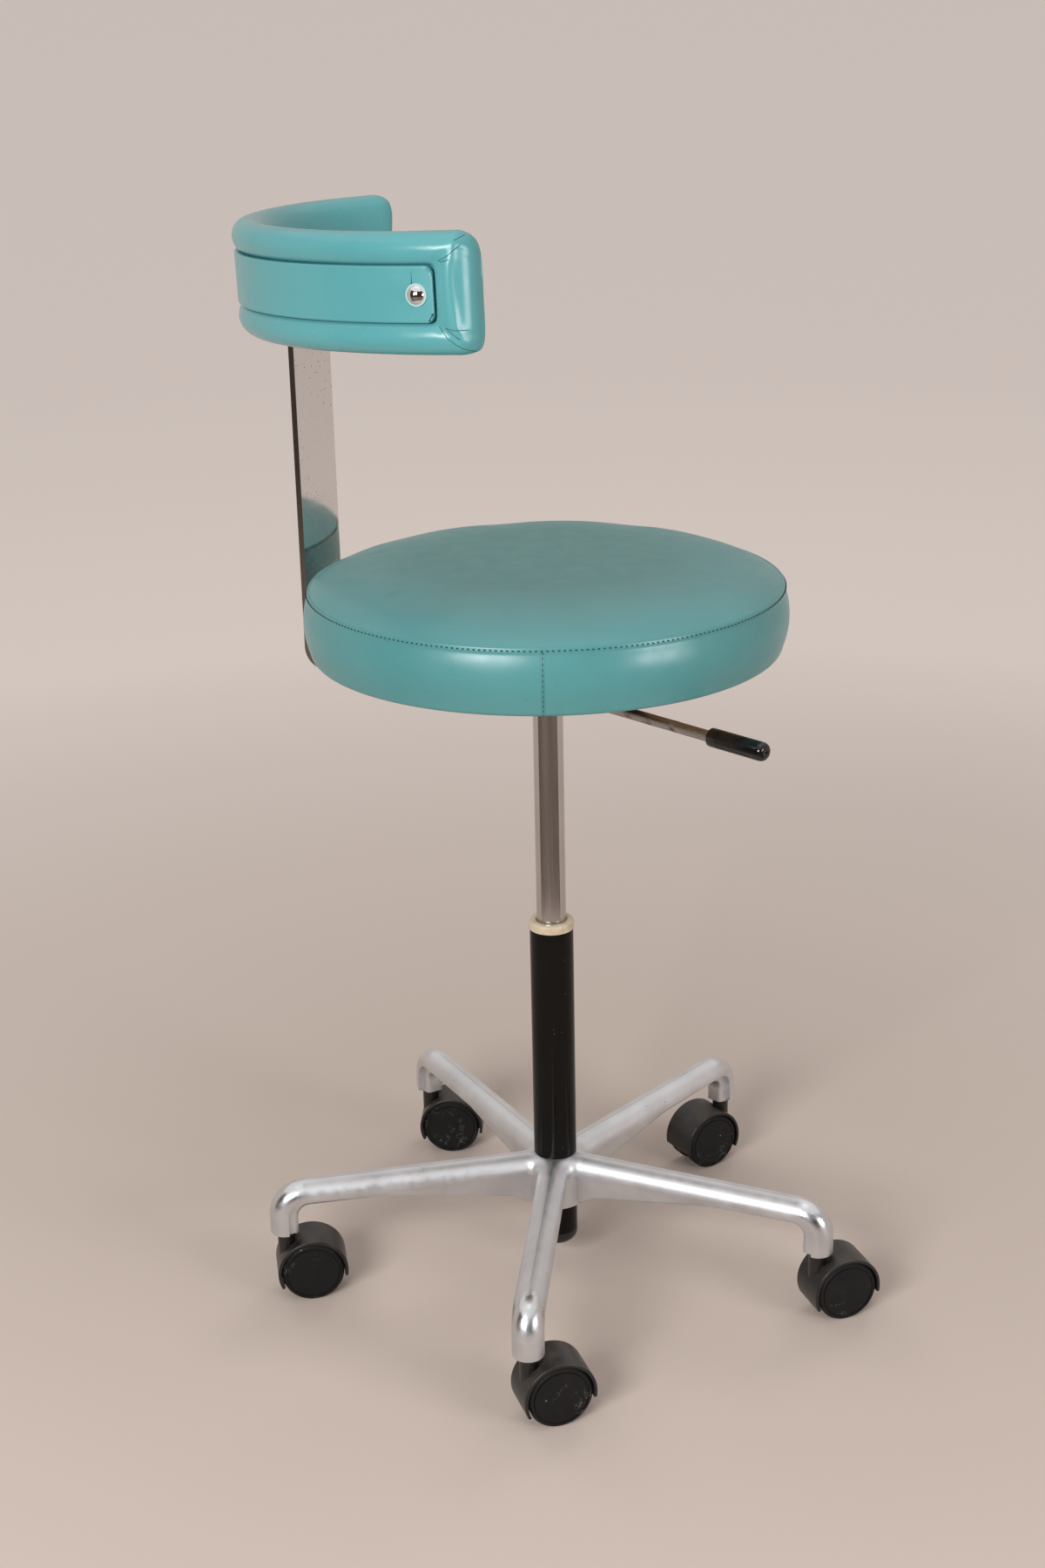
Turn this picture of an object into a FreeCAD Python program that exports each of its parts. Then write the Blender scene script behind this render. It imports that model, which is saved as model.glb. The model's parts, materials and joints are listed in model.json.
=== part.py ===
import FreeCAD, Part
import math
import os

# Medical stool: a round padded seat on a lift column, a curved backrest on a flat strap
# that swings round the column, and a cast five-arm base on hooded twin-wheel castors.
# Millimetres. Z is up, the floor is z = 0, the column axis is the Z axis,
# and the backrest strap stands at +Y.

V = FreeCAD.Vector

# Clearances
run_gap = 0.05
press_gap = 0.02
face_gap = 0.2
soft_gap = 0.5

# Tolerance for picking edges and faces, and the share of a radius that a quarter round
# cuts off at its middle
pick = 0.01
quarter_sag = 1 - math.sqrt(0.5)

# Castors
castor_count = 5
wheel_r = 25.6
wheel_face = 16.9
wheel_width = 9.4
wheel_bevel = 1.6
wheel_ring_r = 22.4
wheel_ring_depth = 0.7
wheel_ring_width = 1.1
wheel_hub_r = 7.5
castor_trail = 20.1
castor_headings = (-40.8, 152.5, -63.6, -50.9, -41.6)
hood_gap = 1.1
hood_wall = 2.5
hood_overhang = 0.5
hood_rim_round = 1.0
hood_tail_deg = -11.0
hood_skirt_deg = 205.5
hood_scoop_r = 11.8
hood_web = 6.4
hood_web_drop = 8.0
hood_core_reach = 14.0
hood_core_rise = 12.0
boss_rise = 2.6
boss_wall = 2.5
stem_r = 4.5
stem_grip_r = 5.5
stem_collar_r = 7.6
stem_collar_h = 2.0
stem_foot = 1.5
stem_grip_len = 30.0
axle_r = 3.0
axle_inset = 2.8

# Cast base
stem_circle_r = 230.8
first_arm_deg = -84.6
arm_width = 24.8
arm_side = 1.8
ridge_flat = 0.3
valley_r = 8.0
bend_r = 16.0
sleeve_drop = 16.0
socket_wall = 10.5
hub_r = 25.0
keel_width = 16.0
keel_depth = 29.6
keel_foot_r = 27.0
keel_root_r = 36.0
keel_root_depth = 23.4
keel_knee_r = 140.0
keel_knee_depth = 7.2
keel_heel_depth = 5.9
keel_rounds = (8.0, 30.0, 120.0, 10.0)
keel_edge_round = 3.5

# Column
tube_r = 17.85
tube_wall = 2.0
tube_rise = 205.0
stub_len = 29.2
plug_drop = 11.4
plug_round = 8.0
plug_spigot = 5.0
plug_wall = 3.0
foot_plate_inset = 7.0
foot_plate_t = 4.0
bush_collar_h = 7.2
bush_collar_over = 0.5
bush_collar_round = 2.4
bush_len = 60.0
bush_lip = 1.2
bearing_r = 13.0
bearing_h = 6.0

# Lift cylinder and its rod
cylinder_r = 12.0
cylinder_wall = 2.0
lift_stroke = 150.0
lift_end_gap = 14.0
cylinder_reach = 213.0
valve_block = 22.0
gland_len = 14.0
gland_groove = 0.8
rod_r = 5.0
rod_shoulder_r = 9.0
rod_shoulder_h = 3.0
rod_tail = 5.0
clip_r = 9.0
clip_t = 1.2
clip_groove = 1.0
piston_len = 12.0
piston_buffer = 3.0
piston_groove_w = 4.0
piston_groove_d = 1.2
valve_pin_r = 3.0
valve_pin_len = 31.0
valve_pin_gap = 0.6
valve_travel = 3.0

# Seat carrier
socket_len = 20.0
socket_r = 19.0
shoulder_r = 22.5
pin_chamber_r = 9.0
plate_side = 150.0
plate_t = 4.0
plate_corner_r = 18.0
plate_rise = 21.5
screw_spread = 104.0
screw_shank_r = 2.4
screw_head_r = 5.0
screw_head_h = 3.0
screw_len = 13.0

# Seat
seat_side_r = 187.5
seat_side_h = 51.0
seat_widest_drop = 24.5
seat_crown = 18.5
seat_shoulder_in = 42.0
seat_shoulder_drop = 3.0
seat_seam_in = 5.0
seat_seam_dip = 1.2
seat_bottom_in = 8.5
seat_rim_round = 4.0
board_in = 16.0
board_t = 11.5

# Height lever
lever_deg = -106.8
lever_r = 4.3
lever_rise = 9.0
lever_drop = 20.0
lever_pivot_r = 30.0
lever_tip = 6.0
lever_crank_start = 42.0
lever_crank_run = 22.0
lever_crank_r = 15.0
lever_pin_r = 2.0
lever_ear_t = 4.0
lever_ear_len = 17.0
lever_side_gap = 0.7
grip_start = 171.0
grip_len = 52.0
grip_r = 6.6
grip_neck_r = 5.6
grip_neck_len = 5.0
grip_dome = 5.0
grip_bore = 40.0
grip_hole_r = 1.0
grip_hole_depth = 2.5

# Backrest strap
strap_width = 50.0
strap_t = 5.0
strap_seat_gap = 19.5
strap_bend_r = 14.0
strap_top_round = 8.0
eye_r = 36.0
eye_washer_t = 0.8
collar_h = 6.0
collar_r = 26.0

# Back pad
pad_mid_z = 834.9
pad_height = 80.0
pad_front = 12.0
pad_proud = 1.0
pad_face_flat = 1.0
pad_far_deg = 64.4
pad_near_deg = 198.8
pad_tip_round = 9.0
pad_tilt_deg = 1.76
band_height = 36.5
band_t = 4.0
band_corner_r = 6.0
band_short_deg = 7.85
carrier_gap = 0.8
carrier_t = 2.5
carrier_height = 33.0
carrier_short_deg = 9.0
band_screw_deg = 2.95
dome_r = 6.4
dome_h = 3.6
dome_rim_h = 0.9
dome_rim_over = 0.9
dome_shank_r = 2.0
strap_top = 16.0
strap_bolt_pitch = 20.0
strap_bolt_r = 2.5
strap_bolt_head_r = 5.0
strap_bolt_head_h = 3.0
strap_bolt_inset = 1.0

# Heights and radii that follow from the sizes above
axle_z = wheel_r
hood_in_r = wheel_r + hood_gap
hood_r = hood_in_r + hood_wall
boss_top_z = axle_z + hood_r + boss_rise
socket_bottom_z = boss_top_z + face_gap + stem_collar_h
arm_mid_z = socket_bottom_z + sleeve_drop + bend_r
arm_top_z = arm_mid_z + arm_width / 2
arm_flat_z = arm_mid_z - arm_side
hub_bottom_z = arm_flat_z - keel_depth
tube_foot_z = hub_bottom_z - stub_len
tube_top_z = arm_top_z + tube_rise
tube_in_r = tube_r - tube_wall
foot_plate_z = tube_foot_z + foot_plate_inset
bearing_z = foot_plate_z + foot_plate_t
shoulder_z = bearing_z + bearing_h + run_gap
cylinder_foot_z = shoulder_z + rod_shoulder_h + lift_stroke + lift_end_gap
cylinder_top_z = tube_top_z + cylinder_reach
piston_z = cylinder_foot_z + gland_len + piston_buffer
socket_z = cylinder_top_z - socket_len
plate_z = cylinder_top_z + plate_rise
board_z = plate_z + plate_t
seat_low_z = board_z - face_gap
seam_z = seat_low_z + seat_side_h
lever_high_z = cylinder_top_z + lever_rise
lever_low_z = lever_high_z - lever_drop
eye_z = socket_z + collar_h + eye_washer_t + 2 * run_gap
neck_shoulder_z = eye_z + strap_t + eye_washer_t + 2 * run_gap
wheel_in = wheel_face - wheel_width
boss_r = stem_r + run_gap + boss_wall
stem_foot_z = axle_z + stem_foot
seat_seam_r = seat_side_r - seat_seam_in
seat_bottom_r = seat_side_r - seat_bottom_in
board_r = seat_side_r - board_in
strap_r = seat_side_r + strap_seat_gap
carrier_in_r = math.hypot(strap_r + strap_t, strap_width / 2) + carrier_gap
carrier_r = carrier_in_r + carrier_t
band_face_r = carrier_r + face_gap + band_t
pad_in_r = strap_r - pad_front
pad_out_r = band_face_r + pad_proud
pad_round = (pad_out_r - pad_in_r - pad_face_flat) / 2


def unit(deg):
    """Horizontal unit vector at an angle from +X."""
    return V(math.cos(math.radians(deg)), math.sin(math.radians(deg)), 0)


def disc(radius, low, high):
    """Upright cylinder on the column axis."""
    return Part.makeCylinder(radius, high - low, V(0, 0, low))


def ring(outer, inner, low, high):
    """Upright tube on the column axis."""
    return disc(outer, low, high).cut(disc(inner, low - 1, high + 1))


def block(x0, x1, y0, y1, z0, z1):
    """Box between two corners."""
    return Part.makeBox(x1 - x0, y1 - y0, z1 - z0, V(x0, y0, z0))


def rounded_path(corners, radii):
    """Lines through the corners, joined by a tangent arc at each inner corner."""
    edges = []
    start = corners[0]
    for before, here, after, radius in zip(corners, corners[1:], corners[2:], radii):
        back = (before - here).normalize()
        ahead = (after - here).normalize()
        half = back.getAngle(ahead) / 2
        reach = radius / math.tan(half)
        entry = here + back * reach
        leave = here + ahead * reach
        middle = (back + ahead).normalize()
        apex = here + middle * (radius / math.sin(half) - radius)
        edges.append(Part.LineSegment(start, entry).toShape())
        edges.append(Part.Arc(entry, apex, leave).toShape())
        start = leave
    edges.append(Part.LineSegment(start, corners[-1]).toShape())
    return Part.Wire(edges)


def rounded_rectangle(width, height, radius):
    """Closed wire of a rounded rectangle, centred in the XY plane."""
    x = width / 2
    y = height / 2
    plate = Part.makePolygon([V(-x, -y), V(x, -y), V(x, y), V(-x, y), V(-x, -y)])
    solid = Part.Face(plate).extrude(V(0, 0, 1))
    upright = [e for e in solid.Edges if e.BoundBox.ZLength > pick]
    solid = solid.makeFillet(radius, upright)
    top = max(solid.Faces, key=lambda f: f.CenterOfMass.z)
    return top.translated(V(0, 0, -1)).OuterWire


def turned(edges, angle=360.0):
    """Solid of revolution about the column axis from a closed profile in the XZ plane."""
    face = Part.Face(Part.Wire(Part.__sortEdges__(edges)))
    return face.revolve(V(0, 0, 0), V(0, 0, 1), angle)


def line(a, b):
    """Straight edge in the XZ plane between two (radius, height) points."""
    return Part.LineSegment(V(a[0], 0, a[1]), V(b[0], 0, b[1])).toShape()


def arc(a, b, c):
    """Round edge in the XZ plane through three (radius, height) points."""
    return Part.Arc(V(a[0], 0, a[1]), V(b[0], 0, b[1]), V(c[0], 0, c[1])).toShape()


def bowed(a, b, deg):
    """Round edge in the XZ plane that leaves the straight line between two points at an angle."""
    half = V(b[0] - a[0], 0, b[1] - a[1]) * 0.5
    side = V(-half.z, 0, half.x) * math.tan(math.radians(deg / 2))
    return arc(a, (a[0] + half.x + side.x, a[1] + half.z + side.z), b)


def lines(points):
    """Closed chain of straight edges in the XZ plane."""
    return [line(a, b) for a, b in zip(points, points[1:] + points[:1])]


def cap(radius, rise, x):
    """Height of a round cap above its rim, at a distance from its axis."""
    sphere = (radius ** 2 + rise ** 2) / (2 * rise)
    return math.sqrt(sphere ** 2 - x ** 2) - sphere + rise


def turned_about(shape, deg):
    """Copy of a shape turned about the column axis."""
    copy = shape.copy()
    copy.rotate(V(0, 0, 0), V(0, 0, 1), deg)
    return copy


def save(name, shape):
    """Write one sub-part and print its solids and volume."""
    shape = shape.removeSplitter()
    print(name, len(shape.Solids), "solids", round(shape.Volume), "mm3", "valid", shape.isValid())
    shape.exportStep("parts/" + name + ".step")


# Cast base

def arm_angles():
    """Angle of each arm about the column."""
    return [first_arm_deg + k * 360 / castor_count for k in range(castor_count)]


def star_outline(reach):
    """Plan of the star: straight arms with a rounded valley between each pair."""
    half = arm_width / 2
    wedge = math.radians(180 / castor_count)
    corner = half / math.sin(wedge)
    tangent = valley_r / math.tan(wedge)
    centre = corner + valley_r / math.sin(wedge)
    edges = []
    for deg in arm_angles():
        along = unit(deg)
        left = unit(deg + 90) * half
        nose_right = along * reach - left
        nose_left = along * reach + left
        middle = unit(deg + 180 / castor_count)
        nxt = unit(deg + 360 / castor_count)
        root = middle * corner
        leave = root + along * tangent
        enter = root + nxt * tangent
        deepest = middle * (centre - valley_r)
        next_right = nxt * reach - unit(deg + 360 / castor_count + 90) * half
        edges.append(Part.LineSegment(nose_right, nose_left).toShape())
        edges.append(Part.LineSegment(nose_left, leave).toShape())
        edges.append(Part.Arc(leave, deepest, enter).toShape())
        edges.append(Part.LineSegment(enter, next_right).toShape())
    return Part.Wire(Part.__sortEdges__(edges))


def round_topped_star(reach):
    """Star plate whose upper edges are rounded until each arm has a half-round back."""
    plan = star_outline(reach).translated(V(0, 0, arm_flat_z))
    plate = Part.Face(plan).extrude(V(0, 0, arm_top_z - arm_flat_z))
    rim = []
    for edge in plate.Edges:
        middle = edge.valueAt((edge.FirstParameter + edge.LastParameter) / 2)
        on_top = abs(edge.BoundBox.ZMin - arm_top_z) < pick
        at_nose = math.hypot(middle.x, middle.y) > reach - pick
        if on_top and not at_nose:
            rim.append(edge)
    return plate.makeFillet(arm_width / 2 - ridge_flat / 2, rim)


def cane_end(star, deg, reach):
    """Bend and vertical drop that carry on from one arm's nose section."""
    along = unit(deg)
    nose = max(star.Faces, key=lambda face: face.CenterOfMass.dot(along))
    pivot = along * reach + V(0, 0, arm_mid_z - bend_r)
    bend = nose.revolve(pivot, unit(deg + 90), 90)
    foot = nose.copy()
    foot.rotate(pivot, unit(deg + 90), 90)
    drop = foot.extrude(V(0, 0, -sleeve_drop))
    return bend.fuse(drop)


def keel(deg):
    """Rib under an arm: deep at the hub, shallow along the arm, then down inside the socket."""
    inner = stem_circle_r - socket_wall
    reach = stem_circle_r - bend_r
    slant = bend_r * math.sqrt(0.5)
    bend_z = arm_mid_z - bend_r
    lower = [
        V(0, 0, hub_bottom_z), V(keel_foot_r, 0, hub_bottom_z),
        V(keel_root_r, 0, arm_flat_z - keel_root_depth), V(keel_knee_r, 0, arm_flat_z - keel_knee_depth),
        V(inner, 0, arm_flat_z - keel_heel_depth), V(inner, 0, socket_bottom_z),
    ]
    upper = [
        V(inner, 0, socket_bottom_z), V(stem_circle_r, 0, socket_bottom_z), V(stem_circle_r, 0, bend_z),
        V(reach + slant, 0, bend_z + slant), V(reach, 0, arm_mid_z), V(0, 0, arm_mid_z),
        V(0, 0, hub_bottom_z),
    ]
    outline = Part.Wire(rounded_path(lower, keel_rounds).Edges + Part.makePolygon(upper).Edges)
    rib = Part.Face(outline).extrude(V(0, keel_width, 0))
    rims = []
    for edge in rib.Edges:
        middle = edge.CenterOfMass
        along = edge.BoundBox.YLength < pick
        if along and pick < middle.x < inner + pick and middle.z < arm_flat_z:
            rims.append(edge)
    rib = rib.makeFillet(keel_edge_round, rims)
    return turned_about(rib.translated(V(0, -keel_width / 2, 0)), deg)


def star_base():
    """One casting: round-backed arms, keels, hub and the five castor sockets."""
    reach = stem_circle_r - bend_r
    star = round_topped_star(reach)
    pieces = [disc(hub_r, hub_bottom_z, arm_mid_z)]
    holes = [disc(tube_r + press_gap, hub_bottom_z - 1, arm_top_z + 1)]
    for deg in arm_angles():
        foot = unit(deg) * stem_circle_r + V(0, 0, socket_bottom_z)
        pieces.append(cane_end(star, deg, reach))
        pieces.append(keel(deg))
        holes.append(Part.makeCylinder(stem_grip_r + press_gap, stem_grip_len + face_gap, foot))
    casting = star.multiFuse(pieces)
    return casting.cut(Part.makeCompound(holes))


# Castors

def castor_stem():
    """Steel stem: a grip in the socket, a collar under it and the pivot below."""
    collar_z = socket_bottom_z - stem_collar_h
    pivot = disc(stem_r, stem_foot_z, collar_z)
    collar = disc(stem_collar_r, collar_z, socket_bottom_z)
    grip = disc(stem_grip_r, socket_bottom_z, socket_bottom_z + stem_grip_len)
    return pivot.multiFuse([collar, grip])


def about_axle(face, start, end):
    """Revolve a face standing at the axle's level, from one angle above +X to another."""
    centre = V(castor_trail, 0, axle_z)
    turned_face = face.copy()
    turned_face.rotate(centre, V(0, -1, 0), start)
    return turned_face.revolve(centre, V(0, -1, 0), end - start)


def hood_section():
    """Cross-section of the hood's shell, with its outer rims rounded."""
    half = wheel_face + hood_overhang
    inner = castor_trail + hood_in_r
    outer = castor_trail + hood_r
    soft = hood_rim_round
    slack = soft * quarter_sag

    def at(x, y):
        return V(x, y, axle_z)

    edges = [
        Part.LineSegment(at(inner, -half), at(outer - soft, -half)).toShape(),
        Part.Arc(at(outer - soft, -half), at(outer - slack, slack - half), at(outer, soft - half)).toShape(),
        Part.LineSegment(at(outer, soft - half), at(outer, half - soft)).toShape(),
        Part.Arc(at(outer, half - soft), at(outer - slack, half - slack), at(outer - soft, half)).toShape(),
        Part.LineSegment(at(outer - soft, half), at(inner, half)).toShape(),
        Part.LineSegment(at(inner, half), at(inner, -half)).toShape(),
    ]
    return Part.Face(Part.Wire(edges))


def castor_hood():
    """Moulded hood: a barrel over both wheels, a centre web and the stem boss in its scoop."""
    shell = about_axle(hood_section(), hood_tail_deg, hood_skirt_deg)
    inside_r = hood_in_r + hood_wall / 2
    low = axle_z - hood_web_drop
    centre = V(castor_trail, -hood_web / 2, axle_z)
    web = Part.makeCylinder(inside_r, hood_web, centre, V(0, 1, 0))
    web = web.cut(block(-3 * hood_r, 3 * hood_r, -hood_r, hood_r, -hood_r, low))
    core = Part.makeCylinder(inside_r, 2 * boss_r, V(castor_trail, -boss_r, axle_z), V(0, 1, 0))
    core = core.common(block(0, hood_core_reach, -boss_r, boss_r, axle_z + hood_core_rise, boss_top_z))
    scoop = Part.makeSphere(hood_scoop_r, V(0, 0, boss_top_z))
    hood = shell.multiFuse([web, core]).cut(scoop).fuse(disc(boss_r, low, boss_top_z))
    bore = disc(stem_r + run_gap, stem_foot_z - face_gap, boss_top_z + 1)
    axle_hole = Part.makeCylinder(axle_r + press_gap, hood_web + 2, centre - V(0, 1, 0), V(0, 1, 0))
    return hood.cut(bore).cut(axle_hole)


def castor_axle():
    """Steel axle pin, hidden by the closed wheel faces."""
    half = wheel_face - axle_inset
    return Part.makeCylinder(axle_r, 2 * half, V(castor_trail, -half, axle_z), V(0, 1, 0))


def castor_wheel(side):
    """Wheel with a closed outer disc, a bevelled edge, a ring groove and an inner hub."""
    hub_in = hood_web / 2 + face_gap
    deep = wheel_face - wheel_ring_depth
    bevel_r = wheel_r - wheel_bevel
    ring_in = wheel_ring_r - wheel_ring_width
    bore = axle_r + run_gap
    blind = wheel_face - axle_inset + face_gap
    outline = [
        (0, wheel_face), (ring_in, wheel_face), (ring_in, deep), (wheel_ring_r, deep),
        (wheel_ring_r, wheel_face), (bevel_r, wheel_face), (wheel_r, wheel_face - wheel_bevel),
        (wheel_r, wheel_in + wheel_bevel / 2), (wheel_r - wheel_bevel / 2, wheel_in),
        (wheel_hub_r, wheel_in), (wheel_hub_r, hub_in), (bore, hub_in), (bore, blind), (0, blind),
    ]
    wheel = turned(lines(outline))
    wheel.rotate(V(0, 0, 0), V(1, 0, 0), -90 * side)
    wheel.translate(V(castor_trail, 0, axle_z))
    return wheel


def at_castor(shape, index):
    """Place a castor piece, modelled on the column axis, under its arm."""
    placed = turned_about(shape, castor_headings[index])
    placed.translate(unit(arm_angles()[index]) * stem_circle_r)
    return placed


# Column and lift

def column_tube():
    """Black tube through the hub, with a welded foot plate for the lift rod."""
    tube = ring(tube_r, tube_in_r, tube_foot_z, tube_top_z)
    plate = ring(tube_in_r, rod_r + run_gap, foot_plate_z, bearing_z)
    return tube.fuse(plate)


def column_end_plug():
    """Round-bottomed plug that closes the tube under the base."""
    bottom = tube_foot_z - plug_drop
    head = disc(tube_r, bottom, tube_foot_z)
    lower = [e for e in head.Edges if abs(e.BoundBox.ZMax - bottom) < pick]
    head = head.makeFillet(plug_round, lower)
    spigot_r = tube_in_r - press_gap
    spigot = ring(spigot_r, spigot_r - plug_wall, tube_foot_z, tube_foot_z + plug_spigot)
    pocket = disc(spigot_r - plug_wall, bottom + plug_wall, tube_foot_z + 1)
    return head.fuse(spigot).cut(pocket)


def guide_bush():
    """Plastic bush that guides the lift cylinder: a sleeve and a rounded collar on the tube."""
    collar_r = tube_r + bush_collar_over
    collar_top = tube_top_z + bush_collar_h
    collar = disc(collar_r, tube_top_z, collar_top)
    upper = [e for e in collar.Edges if abs(e.BoundBox.ZMin - collar_top) < pick]
    collar = collar.makeFillet(bush_collar_round, upper)
    sleeve = disc(tube_in_r - press_gap, tube_top_z - bush_len, tube_top_z)
    bore = disc(cylinder_r + run_gap, tube_top_z - bush_len - 1, collar_top + 1)
    mouth = Part.makeCone(cylinder_r + run_gap, cylinder_r + run_gap + bush_lip, bush_lip,
                          V(0, 0, collar_top - bush_lip))
    return collar.fuse(sleeve).cut(bore).cut(mouth)


def thrust_bearing():
    """Flat bearing on the foot plate that carries the turning rod."""
    return ring(bearing_r, rod_r + run_gap, bearing_z, bearing_z + bearing_h)


def piston_rod():
    """Lift rod: a groove for the clip, a shoulder on the bearing and the long stem."""
    low = foot_plate_z - face_gap - clip_t
    stem = disc(rod_r, low - rod_tail, piston_z + piston_len)
    shoulder = disc(rod_shoulder_r, shoulder_z, shoulder_z + rod_shoulder_h)
    groove = ring(rod_r + 1, rod_r - clip_groove, low, low + clip_t)
    return stem.fuse(shoulder).cut(groove)


def retaining_clip():
    """Open spring clip in the rod's groove, under the foot plate."""
    low = foot_plate_z - face_gap - clip_t
    clip = ring(clip_r, rod_r - clip_groove, low, low + clip_t)
    mouth = rod_r - clip_groove
    return clip.cut(block(0, clip_r + 1, -mouth, mouth, low - 1, low + clip_t + 1))


def piston():
    """Piston on the rod's upper end, with a seal groove."""
    bore = cylinder_r - cylinder_wall
    top = piston_z + piston_len
    body = ring(bore - run_gap, rod_r + press_gap, piston_z, top)
    middle = (piston_z + top) / 2
    half = piston_groove_w / 2
    groove = ring(bore, bore - run_gap - piston_groove_d, middle - half, middle + half)
    return body.cut(groove)


def lift_cylinder():
    """Chrome cylinder that slides in the bush, closed above by the valve block."""
    tube = ring(cylinder_r, cylinder_r - cylinder_wall, cylinder_foot_z, cylinder_top_z)
    bore = valve_pin_r + run_gap
    head = ring(cylinder_r - cylinder_wall, bore, cylinder_top_z - valve_block, cylinder_top_z)
    return tube.fuse(head)


def cylinder_gland():
    """Rod guide and seal in the cylinder's lower end."""
    outer = cylinder_r - cylinder_wall - press_gap
    body = ring(outer, rod_r + run_gap, cylinder_foot_z, cylinder_foot_z + gland_len)
    middle = cylinder_foot_z + gland_len / 2
    return body.cut(ring(outer + 1, outer - gland_groove, middle - gland_groove, middle + gland_groove))


def valve_pin():
    """Release pin that the lever presses down."""
    top = lever_high_z - lever_r - valve_pin_gap
    return disc(valve_pin_r, top - valve_pin_len, top)


# Seat

def screw_spots():
    """Centres of the four seat screws."""
    half = screw_spread / 2
    return [V(x, y, 0) for x in (-half, half) for y in (-half, half)]


def seat_plate():
    """Pressed plate with a welded socket for the cylinder and two ears for the lever."""
    plan = rounded_rectangle(plate_side, plate_side, plate_corner_r).translated(V(0, 0, plate_z))
    plate = Part.Face(plan).extrude(V(0, 0, plate_t))
    neck = disc(socket_r, socket_z, neck_shoulder_z)
    body = disc(shoulder_r, neck_shoulder_z, plate_z)
    inner = lever_r + lever_side_gap
    ear_low = lever_high_z - 3 * lever_pin_r
    ears = []
    for side in (-1, 1):
        near = min(side * inner, side * (inner + lever_ear_t))
        start = lever_pivot_r - lever_ear_len / 2 - lever_pin_r
        ear = block(start, lever_pivot_r + lever_ear_len / 2, near, near + lever_ear_t, ear_low, plate_z)
        ears.append(turned_about(ear, lever_deg))
    solid = plate.multiFuse([neck, body] + ears)
    bore = disc(cylinder_r + press_gap, socket_z - 1, cylinder_top_z)
    chamber = disc(pin_chamber_r, socket_z, plate_z)
    slot = block(0, shoulder_r + 1, -inner, inner, lever_high_z - lever_r - valve_travel, plate_z)
    pin_hole = Part.makeCylinder(lever_pin_r + press_gap, 2 * shoulder_r,
                                 V(lever_pivot_r, -shoulder_r, lever_high_z), V(0, 1, 0))
    cuts = [bore, chamber, turned_about(slot, lever_deg), turned_about(pin_hole, lever_deg)]
    for spot in screw_spots():
        cuts.append(Part.makeCylinder(screw_shank_r + face_gap, plate_t + 2, spot + V(0, 0, plate_z - 1)))
    for cut in cuts:
        solid = solid.cut(cut)
    return solid


def seat_screws():
    """Four screws through the plate into the board."""
    screws = []
    for spot in screw_spots():
        head = Part.makeCylinder(screw_head_r, screw_head_h, spot + V(0, 0, plate_z - screw_head_h))
        under = [e for e in head.Edges if abs(e.BoundBox.ZMax - plate_z + screw_head_h) < pick]
        head = head.makeFillet(screw_head_h / 2, under)
        shank = Part.makeCylinder(screw_shank_r, screw_len, spot + V(0, 0, plate_z))
        screws.append(head.fuse(shank).removeSplitter())
    return Part.makeCompound(screws)


def seat_board():
    """Round plywood board with pilot holes."""
    board = disc(board_r, board_z, board_z + board_t)
    depth = screw_len - plate_t + face_gap
    for spot in screw_spots():
        pilot = Part.makeCylinder(screw_shank_r + press_gap, depth, spot + V(0, 0, board_z))
        board = board.cut(pilot)
    return board


def seat_cushion():
    """Crowned cushion that wraps the board's edge, drawn in at the top seam."""
    top_z = seam_z + seat_crown
    inner = board_r + soft_gap
    roof = board_z + board_t + soft_gap
    dip = seat_seam_r - seat_seam_dip
    rim_top = seam_z - seat_seam_dip
    shoulder = (seat_side_r - seat_shoulder_in, top_z - seat_shoulder_drop)
    half_way = (shoulder[0] / 2, shoulder[1] + cap(shoulder[0], seat_shoulder_drop, shoulder[0] / 2))
    slope = 2 * math.atan2(seat_shoulder_drop, shoulder[0])
    fall = math.atan2(shoulder[1] - seam_z, dip - shoulder[0])
    widest = (seat_side_r, seam_z - seat_widest_drop)
    low_side = (seat_bottom_r + seat_rim_round, seat_low_z + seat_rim_round)
    rim = (low_side[0] - seat_rim_round * quarter_sag, seat_low_z + seat_rim_round * quarter_sag)
    edges = [
        line((0, roof), (0, top_z)),
        arc((0, top_z), half_way, shoulder),
        bowed(shoulder, (dip, seam_z), math.degrees(fall - slope)),
        line((dip, seam_z), (seat_seam_r, rim_top)),
        arc((seat_seam_r, rim_top), widest, low_side),
        arc(low_side, rim, (seat_bottom_r, seat_low_z)),
        line((seat_bottom_r, seat_low_z), (inner, seat_low_z)),
        line((inner, seat_low_z), (inner, roof)),
        line((inner, roof), (0, roof)),
    ]
    return turned(edges)


# Height lever

def lever_rod():
    """Cranked rod: over the valve pin, through the pivot, then down and out to the grip."""
    end = grip_start + grip_bore
    corners = [
        V(-lever_tip, 0, lever_high_z), V(lever_crank_start, 0, lever_high_z),
        V(lever_crank_start + lever_crank_run, 0, lever_low_z), V(end, 0, lever_low_z),
    ]
    path = rounded_path(corners, (lever_crank_r, lever_crank_r))
    section = Part.Wire(Part.makeCircle(lever_r, corners[0], V(1, 0, 0)))
    rod = path.makePipeShell([section], True, False)
    entry = V(lever_pivot_r, -2 * lever_r, lever_high_z)
    hole = Part.makeCylinder(lever_pin_r + run_gap, 4 * lever_r, entry, V(0, 1, 0))
    return turned_about(rod.cut(hole), lever_deg)


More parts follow.
